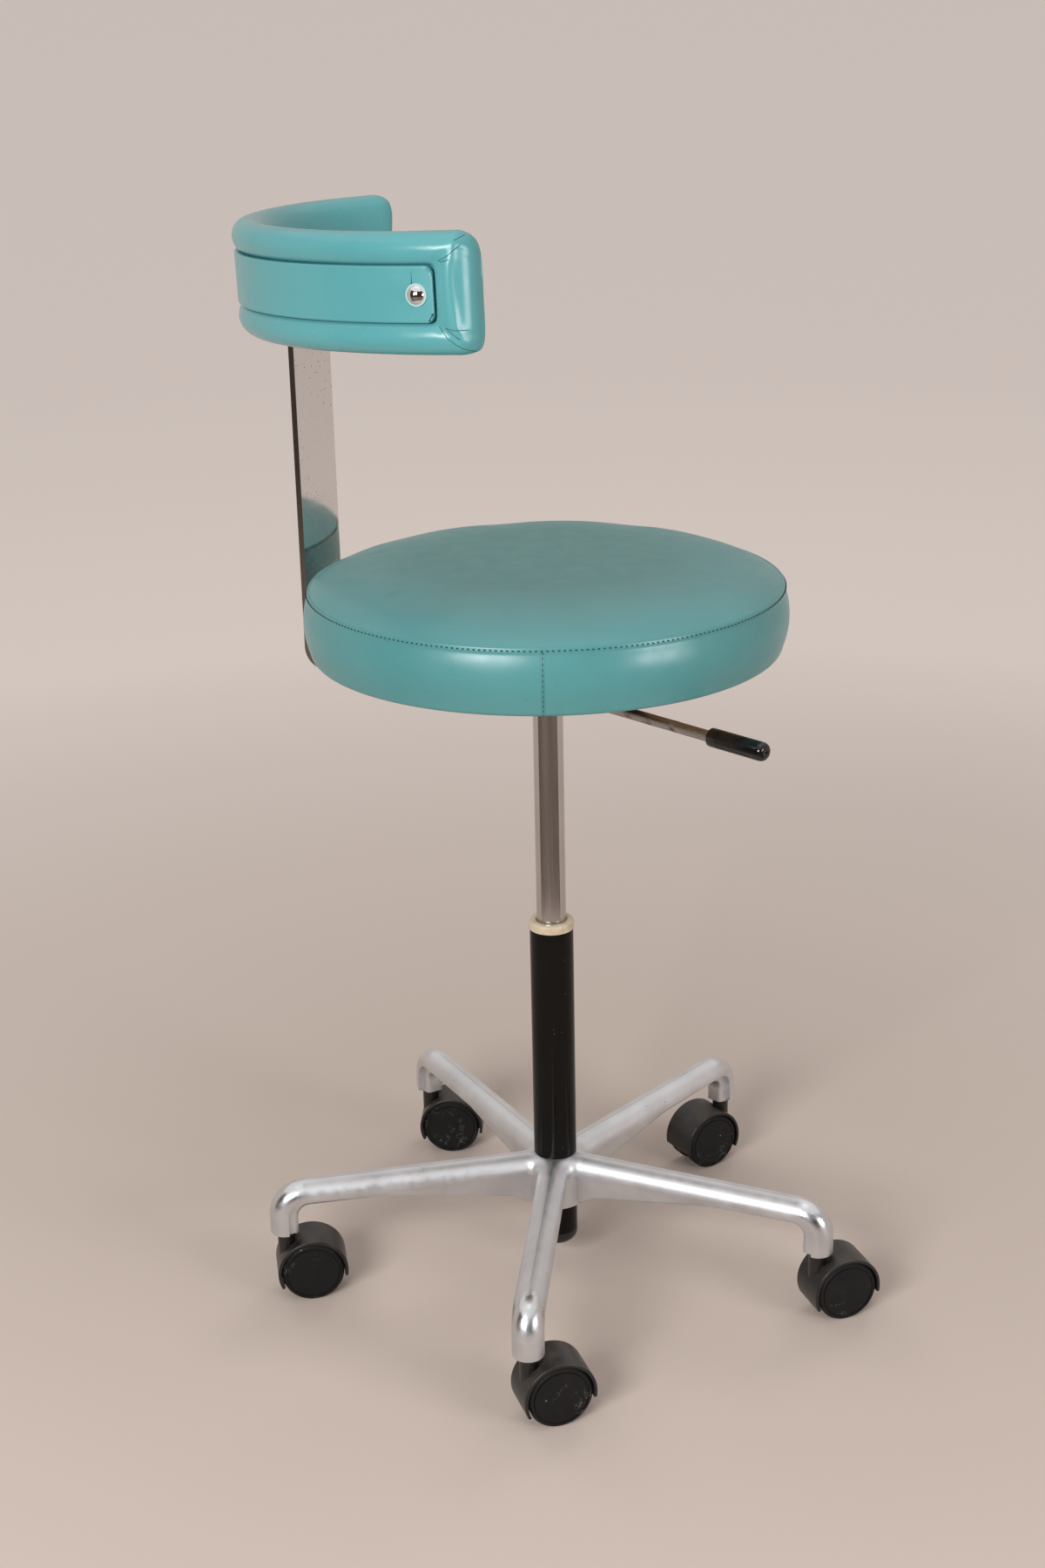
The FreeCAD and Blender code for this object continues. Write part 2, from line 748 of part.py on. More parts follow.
def lever_grip():
    """Round-ended grip pushed on the rod, with a small hole in its end."""
    end = grip_start + grip_len
    body_end = end - grip_dome
    neck_end = grip_start + grip_neck_len
    bore = lever_r + press_gap
    bore_end = grip_start + grip_bore + face_gap
    hole = end - grip_hole_depth
    lip = body_end + cap(grip_r, grip_dome, grip_hole_r)
    half_way = (grip_r / 2, body_end + cap(grip_r, grip_dome, grip_r / 2))
    edges = lines([(bore, grip_start), (grip_neck_r, grip_start), (grip_r, neck_end), (grip_r, body_end),
                   (grip_hole_r, lip), (grip_hole_r, hole), (0, hole), (0, bore_end), (bore, bore_end)])
    edges[3] = arc((grip_r, body_end), half_way, (grip_hole_r, lip))
    grip = turned(edges)
    grip.rotate(V(0, 0, 0), V(0, 1, 0), 90)
    grip.translate(V(0, 0, lever_low_z))
    return turned_about(grip, lever_deg)


def lever_pin():
    """Pivot pin through both ears and the rod."""
    half = lever_r + lever_side_gap + lever_ear_t + face_gap
    pin = Part.makeCylinder(lever_pin_r, 2 * half, V(lever_pivot_r, -half, lever_high_z), V(0, 1, 0))
    return turned_about(pin, lever_deg)


# Backrest

def back_strap():
    """Flat bar: an eye round the socket, a leg under the seat, a bend and the upright."""
    mid = strap_t / 2
    top = pad_mid_z + strap_top
    upright = strap_r + mid
    corners = [V(0, 0, eye_z + mid), V(0, upright, eye_z + mid), V(0, upright, top)]
    path = rounded_path(corners, (strap_bend_r,))
    x = strap_width / 2
    section = Part.makePolygon([V(-x, 0, eye_z), V(x, 0, eye_z), V(x, 0, eye_z + strap_t),
                                V(-x, 0, eye_z + strap_t), V(-x, 0, eye_z)])
    bar = path.makePipeShell([section], True, False)
    top_ends = [e for e in bar.Edges if abs(e.BoundBox.ZMin - top) < pick and e.BoundBox.XLength < pick]
    bar = bar.makeFillet(strap_top_round, top_ends)
    eye = disc(eye_r, eye_z, eye_z + strap_t)
    strap = bar.fuse(eye).cut(disc(socket_r + run_gap, eye_z - 1, eye_z + strap_t + 1))
    for spot in strap_bolt_heights():
        strap = strap.cut(Part.makeCylinder(strap_bolt_r + press_gap, 4 * strap_t,
                                            V(0, strap_r - strap_t, spot), V(0, 1, 0)))
    return strap


def strap_bolt_heights():
    """Heights of the two bolts that hold the pad's carrier to the strap."""
    return [pad_mid_z - strap_bolt_pitch / 2, pad_mid_z + strap_bolt_pitch / 2]


def swing_collar():
    """Collar fixed under the eye, which keeps the strap on the socket."""
    return ring(collar_r, socket_r + press_gap, socket_z, socket_z + collar_h)


def swing_washers():
    """Two thin plastic washers, one under and one over the eye."""
    low = ring(collar_r, socket_r + press_gap, socket_z + collar_h, socket_z + collar_h + eye_washer_t)
    top = neck_shoulder_z
    high = ring(shoulder_r, socket_r + press_gap, top - eye_washer_t, top)
    return Part.makeCompound([low, high])


def tilted(shape):
    """Lean a pad piece back about the line where the strap meets it."""
    leaned = shape.copy()
    leaned.rotate(V(0, strap_r + strap_t, pad_mid_z), V(1, 0, 0), -pad_tilt_deg)
    return leaned


def curved_plate(inner, outer, height, start, end, corner):
    """Plate bent round the column axis at the pad's height, with rounded corners."""
    low = pad_mid_z - height / 2
    high = pad_mid_z + height / 2
    plate = turned(lines([(inner, low), (outer, low), (outer, high), (inner, high)]), end - start)
    plate = turned_about(plate, start)
    thick = outer - inner
    radial = [e for e in plate.Edges if abs(e.Length - thick) < pick and e.BoundBox.ZLength < pick]
    return plate.makeFillet(corner, radial)


def band_span():
    """First and last angle of the band panel."""
    return pad_far_deg + band_short_deg, pad_near_deg - band_short_deg


def band_screw_angles():
    """Angles of the two domed screws, one near each end of the band."""
    first, last = band_span()
    return [first + band_screw_deg, last - band_screw_deg]


def screw_axis_hole(deg, inner, outer):
    """Radial hole for a domed screw at the pad's mid height."""
    start = unit(deg) * inner + V(0, 0, pad_mid_z)
    return Part.makeCylinder(dome_shank_r + press_gap, outer - inner, start, unit(deg))


def bolt_holes(radius):
    """Two holes through the pad pieces, square to the strap."""
    start = [V(0, strap_r, z) for z in strap_bolt_heights()]
    return [Part.makeCylinder(radius, 4 * band_t, spot, V(0, 1, 0)) for spot in start]


def back_carrier():
    """Bent steel strip inside the pad, bolted to the strap."""
    start = pad_far_deg + carrier_short_deg
    end = pad_near_deg - carrier_short_deg
    strip = curved_plate(carrier_in_r, carrier_r, carrier_height, start, end, band_corner_r)
    for deg in band_screw_angles():
        strip = strip.cut(screw_axis_hole(deg, carrier_in_r - carrier_t, carrier_r + 1))
    strip = tilted(strip)
    for hole in bolt_holes(strap_bolt_r + face_gap):
        strip = strip.cut(hole)
    return strip


def back_band():
    """Covered panel let into the outside of the pad, between its two rolls."""
    first, last = band_span()
    band = curved_plate(band_face_r - band_t, band_face_r, band_height, first, last, band_corner_r)
    for deg in band_screw_angles():
        band = band.cut(screw_axis_hole(deg, band_face_r - 2 * band_t, band_face_r + 1))
    return tilted(band)


def band_screws():
    """Two domed chrome screws with a flat rim."""
    screws = []
    shank_in = carrier_t + band_t + face_gap
    crest = dome_rim_h + dome_h
    rim = dome_r + dome_rim_over
    half_way = (dome_r / 2, dome_rim_h + cap(dome_r, dome_h, dome_r / 2))
    for deg in band_screw_angles():
        edges = lines([(0, -shank_in), (dome_shank_r, -shank_in), (dome_shank_r, 0), (rim, 0),
                       (rim, dome_rim_h), (dome_r, dome_rim_h), (0, crest)])
        edges[5] = arc((dome_r, dome_rim_h), half_way, (0, crest))
        screw = turned(edges)
        screw.rotate(V(0, 0, 0), V(0, 1, 0), 90)
        screw.translate(V(band_face_r + press_gap, 0, pad_mid_z))
        screws.append(tilted(turned_about(screw, deg)))
    return Part.makeCompound(screws)


def strap_bolts():
    """Two button-headed bolts from the strap into the carrier."""
    bolts = []
    reach = carrier_r - strap_bolt_inset - strap_r
    for z in strap_bolt_heights():
        under = V(0, strap_r - strap_bolt_head_h, z)
        head = Part.makeCylinder(strap_bolt_head_r, strap_bolt_head_h, under, V(0, 1, 0))
        shank = Part.makeCylinder(strap_bolt_r, reach, V(0, strap_r, z), V(0, 1, 0))
        bolts.append(head.fuse(shank).removeSplitter())
    return Part.makeCompound(bolts)


def pad_section():
    """Rounded section of the pad, with a short flat above and below."""
    low = pad_mid_z - pad_height / 2
    high = pad_mid_z + pad_height / 2
    a = pad_round
    s = pad_round * quarter_sag
    i = pad_in_r
    o = pad_out_r
    return [
        line((i, low + a), (i, high - a)),
        arc((i, high - a), (i + s, high - s), (i + a, high)),
        line((i + a, high), (o - a, high)),
        arc((o - a, high), (o - s, high - s), (o, high - a)),
        line((o, high - a), (o, low + a)),
        arc((o, low + a), (o - s, low + s), (o - a, low)),
        line((o - a, low), (i + a, low)),
        arc((i + a, low), (i + s, low + s), (i, low + a)),
    ]


def back_cushion():
    """Curved pad with rounded tips, a recess for the band and a slot for the strap."""
    pad = turned_about(turned(pad_section(), pad_near_deg - pad_far_deg), pad_far_deg)
    tips = []
    for deg in (pad_far_deg, pad_near_deg):
        across = unit(deg + 90)
        for edge in pad.Edges:
            middle = edge.valueAt((edge.FirstParameter + edge.LastParameter) / 2)
            if abs(middle.dot(across)) < pick and middle.dot(unit(deg)) > 0:
                tips.append(edge)
    pad = pad.makeFillet(pad_tip_round, tips)
    first, last = band_span()
    spare = math.degrees(soft_gap / band_face_r)
    recess = curved_plate(carrier_in_r - soft_gap, pad_out_r + 1, band_height + 2 * soft_gap,
                          first - spare, last + spare, band_corner_r)
    pad = tilted(pad.cut(recess))
    half = strap_width / 2 + soft_gap
    slot = block(-half, half, strap_r - soft_gap, strap_r + strap_t + soft_gap,
                 pad_mid_z - pad_height, pad_mid_z + strap_top + soft_gap)
    heads = block(-half, half, strap_r - strap_bolt_head_h - soft_gap, carrier_r,
                  pad_mid_z - carrier_height / 2, pad_mid_z + strap_top + soft_gap)
    return pad.cut(slot).cut(heads)


def main():
    os.makedirs("parts", exist_ok=True)
    save("star_base", star_base())
    save("column_tube", column_tube())
    save("column_end_plug", column_end_plug())
    save("guide_bush", guide_bush())
    save("thrust_bearing", thrust_bearing())
    save("piston_rod", piston_rod())
    save("retaining_clip", retaining_clip())
    save("piston", piston())
    save("lift_cylinder", lift_cylinder())
    save("cylinder_gland", cylinder_gland())
    save("valve_pin", valve_pin())
    save("seat_plate", seat_plate())
    save("seat_screws", seat_screws())
    save("seat_board", seat_board())
    save("seat_cushion", seat_cushion())
    save("lever_rod", lever_rod())
    save("lever_grip", lever_grip())
    save("lever_pin", lever_pin())
    save("back_strap", back_strap())
    save("swing_collar", swing_collar())
    save("swing_washers", swing_washers())
    save("back_carrier", back_carrier())
    save("back_band", back_band())
    save("band_screws", band_screws())
    save("strap_bolts", strap_bolts())
    save("back_cushion", back_cushion())
    for index in range(castor_count):
        number = str(index + 1)
        save("castor_stem_" + number, at_castor(castor_stem(), index))
        save("castor_hood_" + number, at_castor(castor_hood(), index))
        save("castor_axle_" + number, at_castor(castor_axle(), index))
        save("castor_wheel_" + number + "a", at_castor(castor_wheel(1), index))
        save("castor_wheel_" + number + "b", at_castor(castor_wheel(-1), index))


main()
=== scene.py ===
# %% [markdown]
# Medical stool with a backrest.
#
# The construction is already solved: every rigid piece arrives at its real size and place as the
# fixed frame. This lesson adds what the frame can't hold: stuffed vinyl, sewn seams, chrome that
# has aged, cast aluminium, black enamel and worn castors, and then a plain studio round it.
# All lengths are in metres, +Z is up, and the floor is z = 0 under the column.

# %% Load the frame
import bpy
import bmesh
import json
import math
from mathutils import Matrix, Vector

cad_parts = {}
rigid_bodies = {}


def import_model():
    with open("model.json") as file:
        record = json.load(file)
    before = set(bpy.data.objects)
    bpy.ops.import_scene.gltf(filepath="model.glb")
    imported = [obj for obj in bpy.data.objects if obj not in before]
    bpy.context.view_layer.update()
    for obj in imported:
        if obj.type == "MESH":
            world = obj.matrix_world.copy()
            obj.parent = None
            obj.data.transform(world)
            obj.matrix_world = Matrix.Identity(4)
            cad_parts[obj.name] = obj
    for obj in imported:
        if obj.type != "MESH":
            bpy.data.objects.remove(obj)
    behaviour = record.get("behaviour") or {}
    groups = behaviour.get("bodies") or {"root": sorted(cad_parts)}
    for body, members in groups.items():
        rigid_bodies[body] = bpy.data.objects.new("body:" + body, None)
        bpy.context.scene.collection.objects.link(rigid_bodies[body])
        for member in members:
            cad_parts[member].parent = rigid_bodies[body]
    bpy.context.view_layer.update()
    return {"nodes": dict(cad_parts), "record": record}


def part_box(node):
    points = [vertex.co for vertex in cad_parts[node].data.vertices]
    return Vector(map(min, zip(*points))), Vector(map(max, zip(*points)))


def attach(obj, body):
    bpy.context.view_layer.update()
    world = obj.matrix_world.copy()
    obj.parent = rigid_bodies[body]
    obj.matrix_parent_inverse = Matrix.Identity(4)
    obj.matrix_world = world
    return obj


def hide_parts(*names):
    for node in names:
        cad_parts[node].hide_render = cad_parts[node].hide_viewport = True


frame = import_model()
nodes = frame["nodes"]
mm = 0.001

# %% [markdown]
# Blender's operators work on whatever is selected, and the frame arrives selected. These small
# helpers keep each step on one piece: pick it alone, draw an outline by extruding one point, spin
# it and weld it, apply a modifier, and finish the piece with smooth shading.

# %% Helpers for one piece at a time
def only(piece):
    """Make one object the only selected and the active one."""
    bpy.ops.object.select_all(action="DESELECT")
    piece.select_set(True)
    bpy.context.view_layer.objects.active = piece


def modify(piece, kind, **settings):
    """Add a modifier with these settings, and apply it."""
    only(piece)
    bpy.ops.object.modifier_add(type=kind)
    modifier = piece.modifiers[-1]
    for name, value in settings.items():
        setattr(modifier, name, value)
    bpy.ops.object.modifier_apply(modifier=modifier.name)


def weld(within, inside=False):
    """In edit mode, merge points that meet, and turn every face out, or in."""
    bpy.ops.mesh.select_all(action="SELECT")
    bpy.ops.mesh.remove_doubles(threshold=within)
    bpy.ops.mesh.normals_make_consistent(inside=inside)


def spin(steps, angle=2 * math.pi, copies=False):
    """In edit mode, spin what is selected about the column."""
    bpy.ops.mesh.spin(steps=steps, angle=angle, dupli=copies, center=(0, 0, 0), axis=(0, 0, 1))


def finish_shape(piece, subdivisions=0, smooth_deg=40):
    """Apply a subdivision, if one is asked for, and shade the piece smooth."""
    only(piece)
    if subdivisions:
        modify(piece, "SUBSURF", levels=subdivisions, render_levels=subdivisions)
    bpy.ops.object.shade_smooth_by_angle(angle=math.radians(smooth_deg))
    print(piece.name, len(piece.data.polygons), "faces")


def draw_chain(name, points):
    """A chain of edges through the points, extruded from one vertex and left selected."""
    bpy.ops.object.select_all(action="DESELECT")
    bpy.ops.mesh.primitive_plane_add(size=mm)
    piece = bpy.context.object
    piece.name = name
    bpy.ops.object.mode_set(mode="EDIT")
    bpy.ops.mesh.select_mode(type="VERT")
    bpy.ops.mesh.merge(type="CENTER")
    bpy.ops.transform.translate(value=points[0])
    for here, there in zip(points, points[1:]):
        bpy.ops.mesh.extrude_vertices_move(TRANSFORM_OT_translate={"value": there - here})
    bpy.ops.mesh.select_all(action="SELECT")
    return piece

# %% [markdown]
# The camera. The photograph's view was solved from the base, castors, seat and column: a 50 mm
# lens on a portrait frame, a little above the seat and looking down by about twenty degrees,
# with a slight roll.

# %% Camera at the photograph's view
camera_spot = Vector((-1.4208, -0.7917, 1.0221))
camera_turn = math.radians(-60.13)
camera_tilt = math.radians(70.08)
camera_roll = math.radians(-1.24)

bpy.ops.object.camera_add(location=camera_spot)
camera = bpy.context.object
camera.name = "photo_camera"
turn = Matrix.Rotation(camera_turn, 4, "Z")
tilt = Matrix.Rotation(camera_tilt, 4, "X")
roll = Matrix.Rotation(camera_roll, 4, "Z")
camera.matrix_world = Matrix.Translation(camera_spot) @ turn @ tilt @ roll
camera.data.sensor_fit = "VERTICAL"
camera.data.sensor_height = 36.0
camera.data.lens = 50.0
bpy.context.scene.camera = camera
camera_azimuth = math.atan2(camera_spot.y, camera_spot.x)
print("camera stands", round(camera_spot.xy.length, 2), "m from the column")

# %% [markdown]
# Bricks for finishes. The studio and the stool are painted from the same few: a place on the piece
# in its own Object coordinates, a step of arithmetic, a span of values stretched to another, and a
# blend of two colours. A socket knows its node tree, so a brick needs only the sockets that it
# works on, and each finish stays as short as a recipe.

# %% Bricks for finishes
def plug(value, socket):
    """Link a value to a socket, or write a number, vector or colour in it."""
    if isinstance(value, bpy.types.NodeSocket):
        socket.id_data.links.new(value, socket)
    else:
        socket.default_value = value


def brick(near, kind, **inputs):
    """A new node in the tree of a socket or node, with these inputs."""
    node = near.id_data.nodes.new("ShaderNode" + kind)
    for label, value in inputs.items():
        plug(value, node.inputs[label])
    return node


def place(shader, stretch=(1, 1, 1)):
    """Object coordinates, squeezed or stretched along the axes."""
    own = brick(shader, "TexCoord").outputs["Object"]
    return brick(shader, "Mapping", Vector=own, Scale=stretch).outputs["Vector"]


def finish(name):
    """A new node material, its shader and its Object coordinates."""
    material = bpy.data.materials.new(name)
    material.use_nodes = True
    shader = material.node_tree.nodes["Principled BSDF"]
    return material, shader, place(shader)


def remap(value, low, high, to_low=0, to_high=1):
    """Stretch a span of values to another span, and stop at its ends."""
    spans = {"From Min": low, "From Max": high, "To Min": to_low, "To Max": to_high}
    return brick(value, "MapRange", Value=value, **spans).outputs["Result"]


def maths(operation, first, second=0):
    """One step of arithmetic on sockets or numbers."""
    near = first if isinstance(first, bpy.types.NodeSocket) else second
    node = brick(near, "Math")
    node.operation = operation
    plug(first, node.inputs[0])
    plug(second, node.inputs[1])
    return node.outputs["Value"]


def times(first, second):
    """A product, which also lets one mask limit another."""
    return maths("MULTIPLY", first, second)


def axes_of(vector):
    """The x, y and z of a point or a direction."""
    split = brick(vector, "SeparateXYZ", Vector=vector)
    return split.outputs["X"], split.outputs["Y"], split.outputs["Z"]


def off_axis(spot):
    """How far a point lies from the column's axis."""
    x, y = axes_of(spot)[:2]
    return maths("SQRT", maths("ADD", times(x, x), times(y, y)))


def mix(factor, first, second):
    """Blend two colours, each a socket or a colour value."""
    node = brick(factor, "Mix", Factor=factor)
    node.data_type = "RGBA"
    for label, value in (("A", first), ("B", second)):
        socket = next(s for s in node.inputs if s.name == label and s.type == "RGBA")
        plug((*value, 1) if isinstance(value, tuple) else value, socket)
    return next(s for s in node.outputs if s.type == "RGBA")


def paint(shader, label, value):
    """Give the shader a number, a colour or a pattern."""
    plug(value, shader.inputs[label])

# %% [markdown]
# The studio's floor. A pale round floor turns up into a pale wall far from the stool, so that no
# view has a horizon line and the metal has something plain to mirror. One outline, spun about the
# column, makes both. A floor of one colour burns out under the lamps when it is seen from another
# side, so its colour gets deeper away from the stool, and a faint painted glow, which only the camera
# and reflections see, makes up for that: painted light that no lamp gives.

# %% Pale floor and wall
floor_r = 4.0
cove_r = 1.6
wall_top = 4.2
cove_steps = 12
floor_steps = 96
near_colour = (0.68, 0.57, 0.5)
far_colour = (0.22, 0.18, 0.155)
painted_far_glow = (0.5, 0.445, 0.415, 1)
glow_near = 0.4
glow_far = 1.9

sweep = [Vector((0, 0, 0)), Vector((floor_r, 0, 0))]
for step in range(1, cove_steps + 1):
    angle = math.pi / 2 * step / cove_steps
    sweep.append(Vector((floor_r + cove_r * math.sin(angle), 0, cove_r * (1 - math.cos(angle)))))
sweep.append(Vector((floor_r + cove_r, 0, wall_top)))
studio = draw_chain("studio_floor", sweep)
spin(floor_steps)
weld(mm, inside=True)
bpy.ops.object.mode_set(mode="OBJECT")
finish_shape(studio)

paper, shader, spot = finish("pale_floor")
paint(shader, "Roughness", 0.9)
# Painted light: the floor and wall glow far from the stool, for the camera and reflections only.
paint(shader, "Emission Color", painted_far_glow)
far_colour_and_glow_share = remap(off_axis(spot), glow_near, glow_far)
paint(shader, "Base Color", mix(far_colour_and_glow_share, near_colour, far_colour))
ray = brick(shader, "LightPath")
seen = maths("MAXIMUM", ray.outputs["Is Camera Ray"], ray.outputs["Is Glossy Ray"])
paint(shader, "Emission Strength", times(seen, far_colour_and_glow_share))
studio.data.materials.append(paper)

# %% [markdown]
# Soft boxes. The highlights on the seat's side show where the photograph's lamps stood: a large one
# to the left of the camera, and a smaller, lower one to its right. A weak one overhead and two
# fills behind keep the far side readable. The fills would only put patches on the vinyl that the
# real stool doesn't show, so nothing mirrors them.

# %% Soft boxes
stool_middle = Vector((0, 0, 0.5))


def studio_spot(side_deg, distance, height):
    """A place round the stool, by its angle to the right of the camera's."""
    angle = camera_azimuth + math.radians(side_deg)
    return Vector((distance * math.cos(angle), distance * math.sin(angle), height))


def soft_box(name, spot, width, height, watts, mirrored=True):
    """A rectangular lamp that faces the stool, mirrored in its gloss or not."""
    bpy.ops.object.light_add(type="AREA", location=spot)
    lamp = bpy.context.object
    lamp.name = name
    lamp.rotation_euler = (stool_middle - spot).to_track_quat("-Z", "Y").to_euler()
    lamp.data.shape = "RECTANGLE"
    lamp.data.size = width
    lamp.data.size_y = height
    lamp.data.energy = watts
    lamp.visible_camera = False
    lamp.visible_glossy = mirrored


soft_box("left_box", studio_spot(-27, 2.3, 1.35), 1.1, 0.7, 43)
soft_box("right_box", studio_spot(51, 2.3, 0.85), 0.9, 0.6, 17)
soft_box("top_box", Vector((0, 0, 2.8)), 1.6, 1.6, 4)
soft_box("left_fill", studio_spot(-140, 2.5, 2.2), 1.2, 1.2, 6, mirrored=False)
soft_box("right_fill", studio_spot(150, 2.5, 2.5), 1.2, 1.2, 9, mirrored=False)

# %% [markdown]
# The dark room. Chrome and black enamel only look right when part of the room is dark, as it was
# behind the real camera. A lamp can't be taken away from a mirror, but a screen can stand in it: a
# dark brown sheet lies on the floor and rises behind the camera, as a painted dark reflection. Only
# reflections see it, and it throws no shadow.

# %% Dark room behind the camera
dark_near = 0.75
dark_far = 3.3
dark_top = 3.0
dark_left = math.radians(-82)
dark_right = math.radians(75)
dark_steps = 24
floor_lift = 4 * mm
dark_reflection_brown = (0.16, 0.12, 0.1, 1)

dark = ((dark_near, 0, floor_lift), (dark_far, 0, floor_lift), (dark_far, 0, dark_top))
start = Matrix.Rotation(camera_azimuth + dark_left, 3, "Z")
screen = draw_chain("dark_room", [start @ Vector(point) for point in dark])
spin(dark_steps, dark_left - dark_right)
bpy.ops.object.mode_set(mode="OBJECT")
# Painted dark reflection: a sheet that only reflections see.
dark_reflection_finish, shader = finish("painted_dark_reflection")[:2]
paint(shader, "Base Color", dark_reflection_brown)
paint(shader, "Roughness", 1.0)
screen.data.materials.append(dark_reflection_finish)
screen.visible_camera = False
screen.visible_diffuse = False
screen.visible_shadow = False
print("dark room over", round(math.degrees(dark_right - dark_left)), "degrees")

# %% [markdown]
# World light. An even, faintly warm light from all round fills the shadows. Reflections see it
# brighter than the surfaces do, as they would see the walls of a lit room. The Standard view shows
# each colour about as it is written.

# %% World light
soft_light = 0.42
mirrored_light = 0.9

world = bpy.data.worlds.new("soft_room")
world.use_nodes = True
sky = world.node_tree.nodes["Background"]
paint(sky, "Color", (1.0, 0.98, 0.97, 1))
in_mirror = brick(sky, "LightPath").outputs["Is Glossy Ray"]
paint(sky, "Strength", remap(in_mirror, 0, 1, soft_light, mirrored_light))
bpy.context.scene.world = world
bpy.context.scene.view_settings.view_transform = "Standard"
print("world light:", soft_light, "on surfaces,", mirrored_light, "in reflections")

# %% [markdown]
# Patterns for worn things. A noise gives slow changes of tone, a finer one gives grain, cells give
# specks, and any of them can be a bump. Real metres are the scale, so a noise scale of 400 gives
# features of about two and a half millimetres.

# %% Noise, specks and bump
def noise(spot, scale, detail=3.0, roughness=0.5):
    """Cloudy values from 0 to 1."""
    clouds = brick(spot, "TexNoise", Vector=spot, Scale=scale, Detail=detail, Roughness=roughness)
    return clouds.outputs["Fac"]


def specks(spot, scale, size, share):
    """Small round dots: a cell pattern, with only a share of the cells kept."""
    cells = brick(spot, "TexVoronoi", Vector=spot, Scale=scale)
    lot = brick(spot, "SeparateColor", Color=cells.outputs["Color"])
    dot = remap(cells.outputs["Distance"], size, size * 0.6)
    return times(dot, remap(lot.outputs["Red"], share, share - 0.02))


def bump(shader, height, depth, strength=1.0):
    """Small relief on the shader, in metres."""
    relief = brick(shader, "Bump", Strength=strength, Distance=depth, Height=height)
    paint(shader, "Normal", relief.outputs["Normal"])

# %% [markdown]
# Teal vinyl covers the seat, the pad and its band. It is a smooth sheet with a very fine grain, a
# soft gloss, cloudy fading and a few dark specks. The seat's middle has been sat on for years, so it
# is duller than its edge, and greyer: partly wear, and partly a painted sheen for the pale room that
# the top reflects. A picture of vinyl would repeat and stretch; noise in real metres fits every
# piece, and the greyer middle is just a distance from the column.

# %% Teal vinyl
# The seat's greyer middle: partly wear, partly painted sheen.
worn_and_sheen_tone = (0.115, 0.23, 0.21)
worn_and_sheen_near = 90 * mm
worn_and_sheen_far = 182 * mm
worn_and_sheen_share = 0.6
rubbed_matt = 0.2


def shade(tone, share):
    """A colour made darker or lighter."""
    return tuple(channel * share for channel in tone)


def teal_vinyl(name, tone, matt, gloss, sat_on_with_sheen):
    """Smooth sheet with a fine grain, cloudy fading and specks; if sat on, a middle greyed by wear and
    painted sheen.
    """
    material, shader, spot = finish(name)
    clouds = remap(noise(spot, 9, 4), 0.35, 0.65)
    faded = mix(clouds, shade(tone, 0.97), shade(tone, 1.04))
    grime = remap(noise(spot, 30, 6, 0.65), 0.6, 0.8, 0, 0.3)
    worn = mix(grime, faded, shade(tone, 0.7))
    rough = remap(noise(spot, 60, 5), 0.3, 0.7, gloss, matt)
    # Painted sheen and wear: the seat's middle is greyed, and made duller.
    if sat_on_with_sheen:
        use = remap(off_axis(spot), worn_and_sheen_near, worn_and_sheen_far, 1, 0)
        worn = mix(times(use, worn_and_sheen_share), worn, worn_and_sheen_tone)
        rough = maths("ADD", rough, times(use, rubbed_matt))
    dirt = specks(spot, 150, 0.075, 0.035)
    paint(shader, "Base Color", mix(dirt, worn, shade(tone, 0.6)))
    paint(shader, "Roughness", rough)
    grain = times(noise(spot, 900, 2), 0.1)
    waves = times(noise(spot, 45, 2), 0.22)
    bump(shader, maths("ADD", grain, waves), 0.25 * mm, 0.5)
    return material


seat_teal = (0.096, 0.312, 0.318)
back_teal = (0.116, 0.405, 0.428)
seat_vinyl = teal_vinyl("seat_vinyl", seat_teal, matt=0.36, gloss=0.26, sat_on_with_sheen=True)
back_vinyl = teal_vinyl("back_vinyl", back_teal, matt=0.3, gloss=0.2, sat_on_with_sheen=False)
print("teal vinyl for the seat and the back")

# %% [markdown]
# Thread and fold shadow. The stitches are a dark green twisted thread, sunk in the sheet. A modelled
# twist would be lost at this size, so a fine noise gives it. Light hardly reaches the bottom of a
# tight fold in the cover: a fold that narrow is drawn as a thin strand, and a dark, dull teal is
# what shows of it.

# %% Thread and fold shadow
def dull_strand(name, uneven, dark, light, rough):
    """Dull finish that wavers between two tones."""
    material, shader, spot = finish(name)
    paint(shader, "Base Color", mix(noise(spot, uneven, 2), dark, light))
    paint(shader, "Roughness", rough)
    return material


thread = dull_strand("stitch_thread", 1800, (0.008, 0.035, 0.032), (0.02, 0.075, 0.07), 0.7)
fold_shadow = dull_strand("fold_shadow", 300, (0.02, 0.085, 0.085), (0.04, 0.15, 0.15), 0.6)
print("thread for the stitches, shadow for the folds")

# %% [markdown]
# The strap is chromed flat steel. Plating that has aged is still a mirror, but rust has come through
# it in crowds of tiny pits. Cells give the pits, and a slow noise decides where they crowd.

# %% Chrome strap with pits
def pitted_chrome():
    """Mirror plating with small dark pits."""
    material, shader, spot = finish("pitted_chrome")
    crowd = remap(noise(spot, 25, 3), 0.42, 0.62)
    pits = times(specks(spot, 420, 0.26, 0.3), crowd)
    paint(shader, "Metallic", 1.0)
    paint(shader, "Base Color", mix(pits, (0.74, 0.725, 0.71), (0.16, 0.12, 0.1)))
    haze = remap(noise(spot, 60, 4), 0.3, 0.7, 0.05, 0.12)
    paint(shader, "Roughness", maths("ADD", haze, times(pits, 0.4)))
    bump(shader, maths("SUBTRACT", 1.0, pits), 0.15 * mm, 0.6)
    return material


strap_chrome = pitted_chrome()
print("chrome for the strap")

# %% [markdown]
# The lift tube slides in its bush, which polishes it along its length. The same noise, stretched
# fifty times upwards, gives marks that run that way.

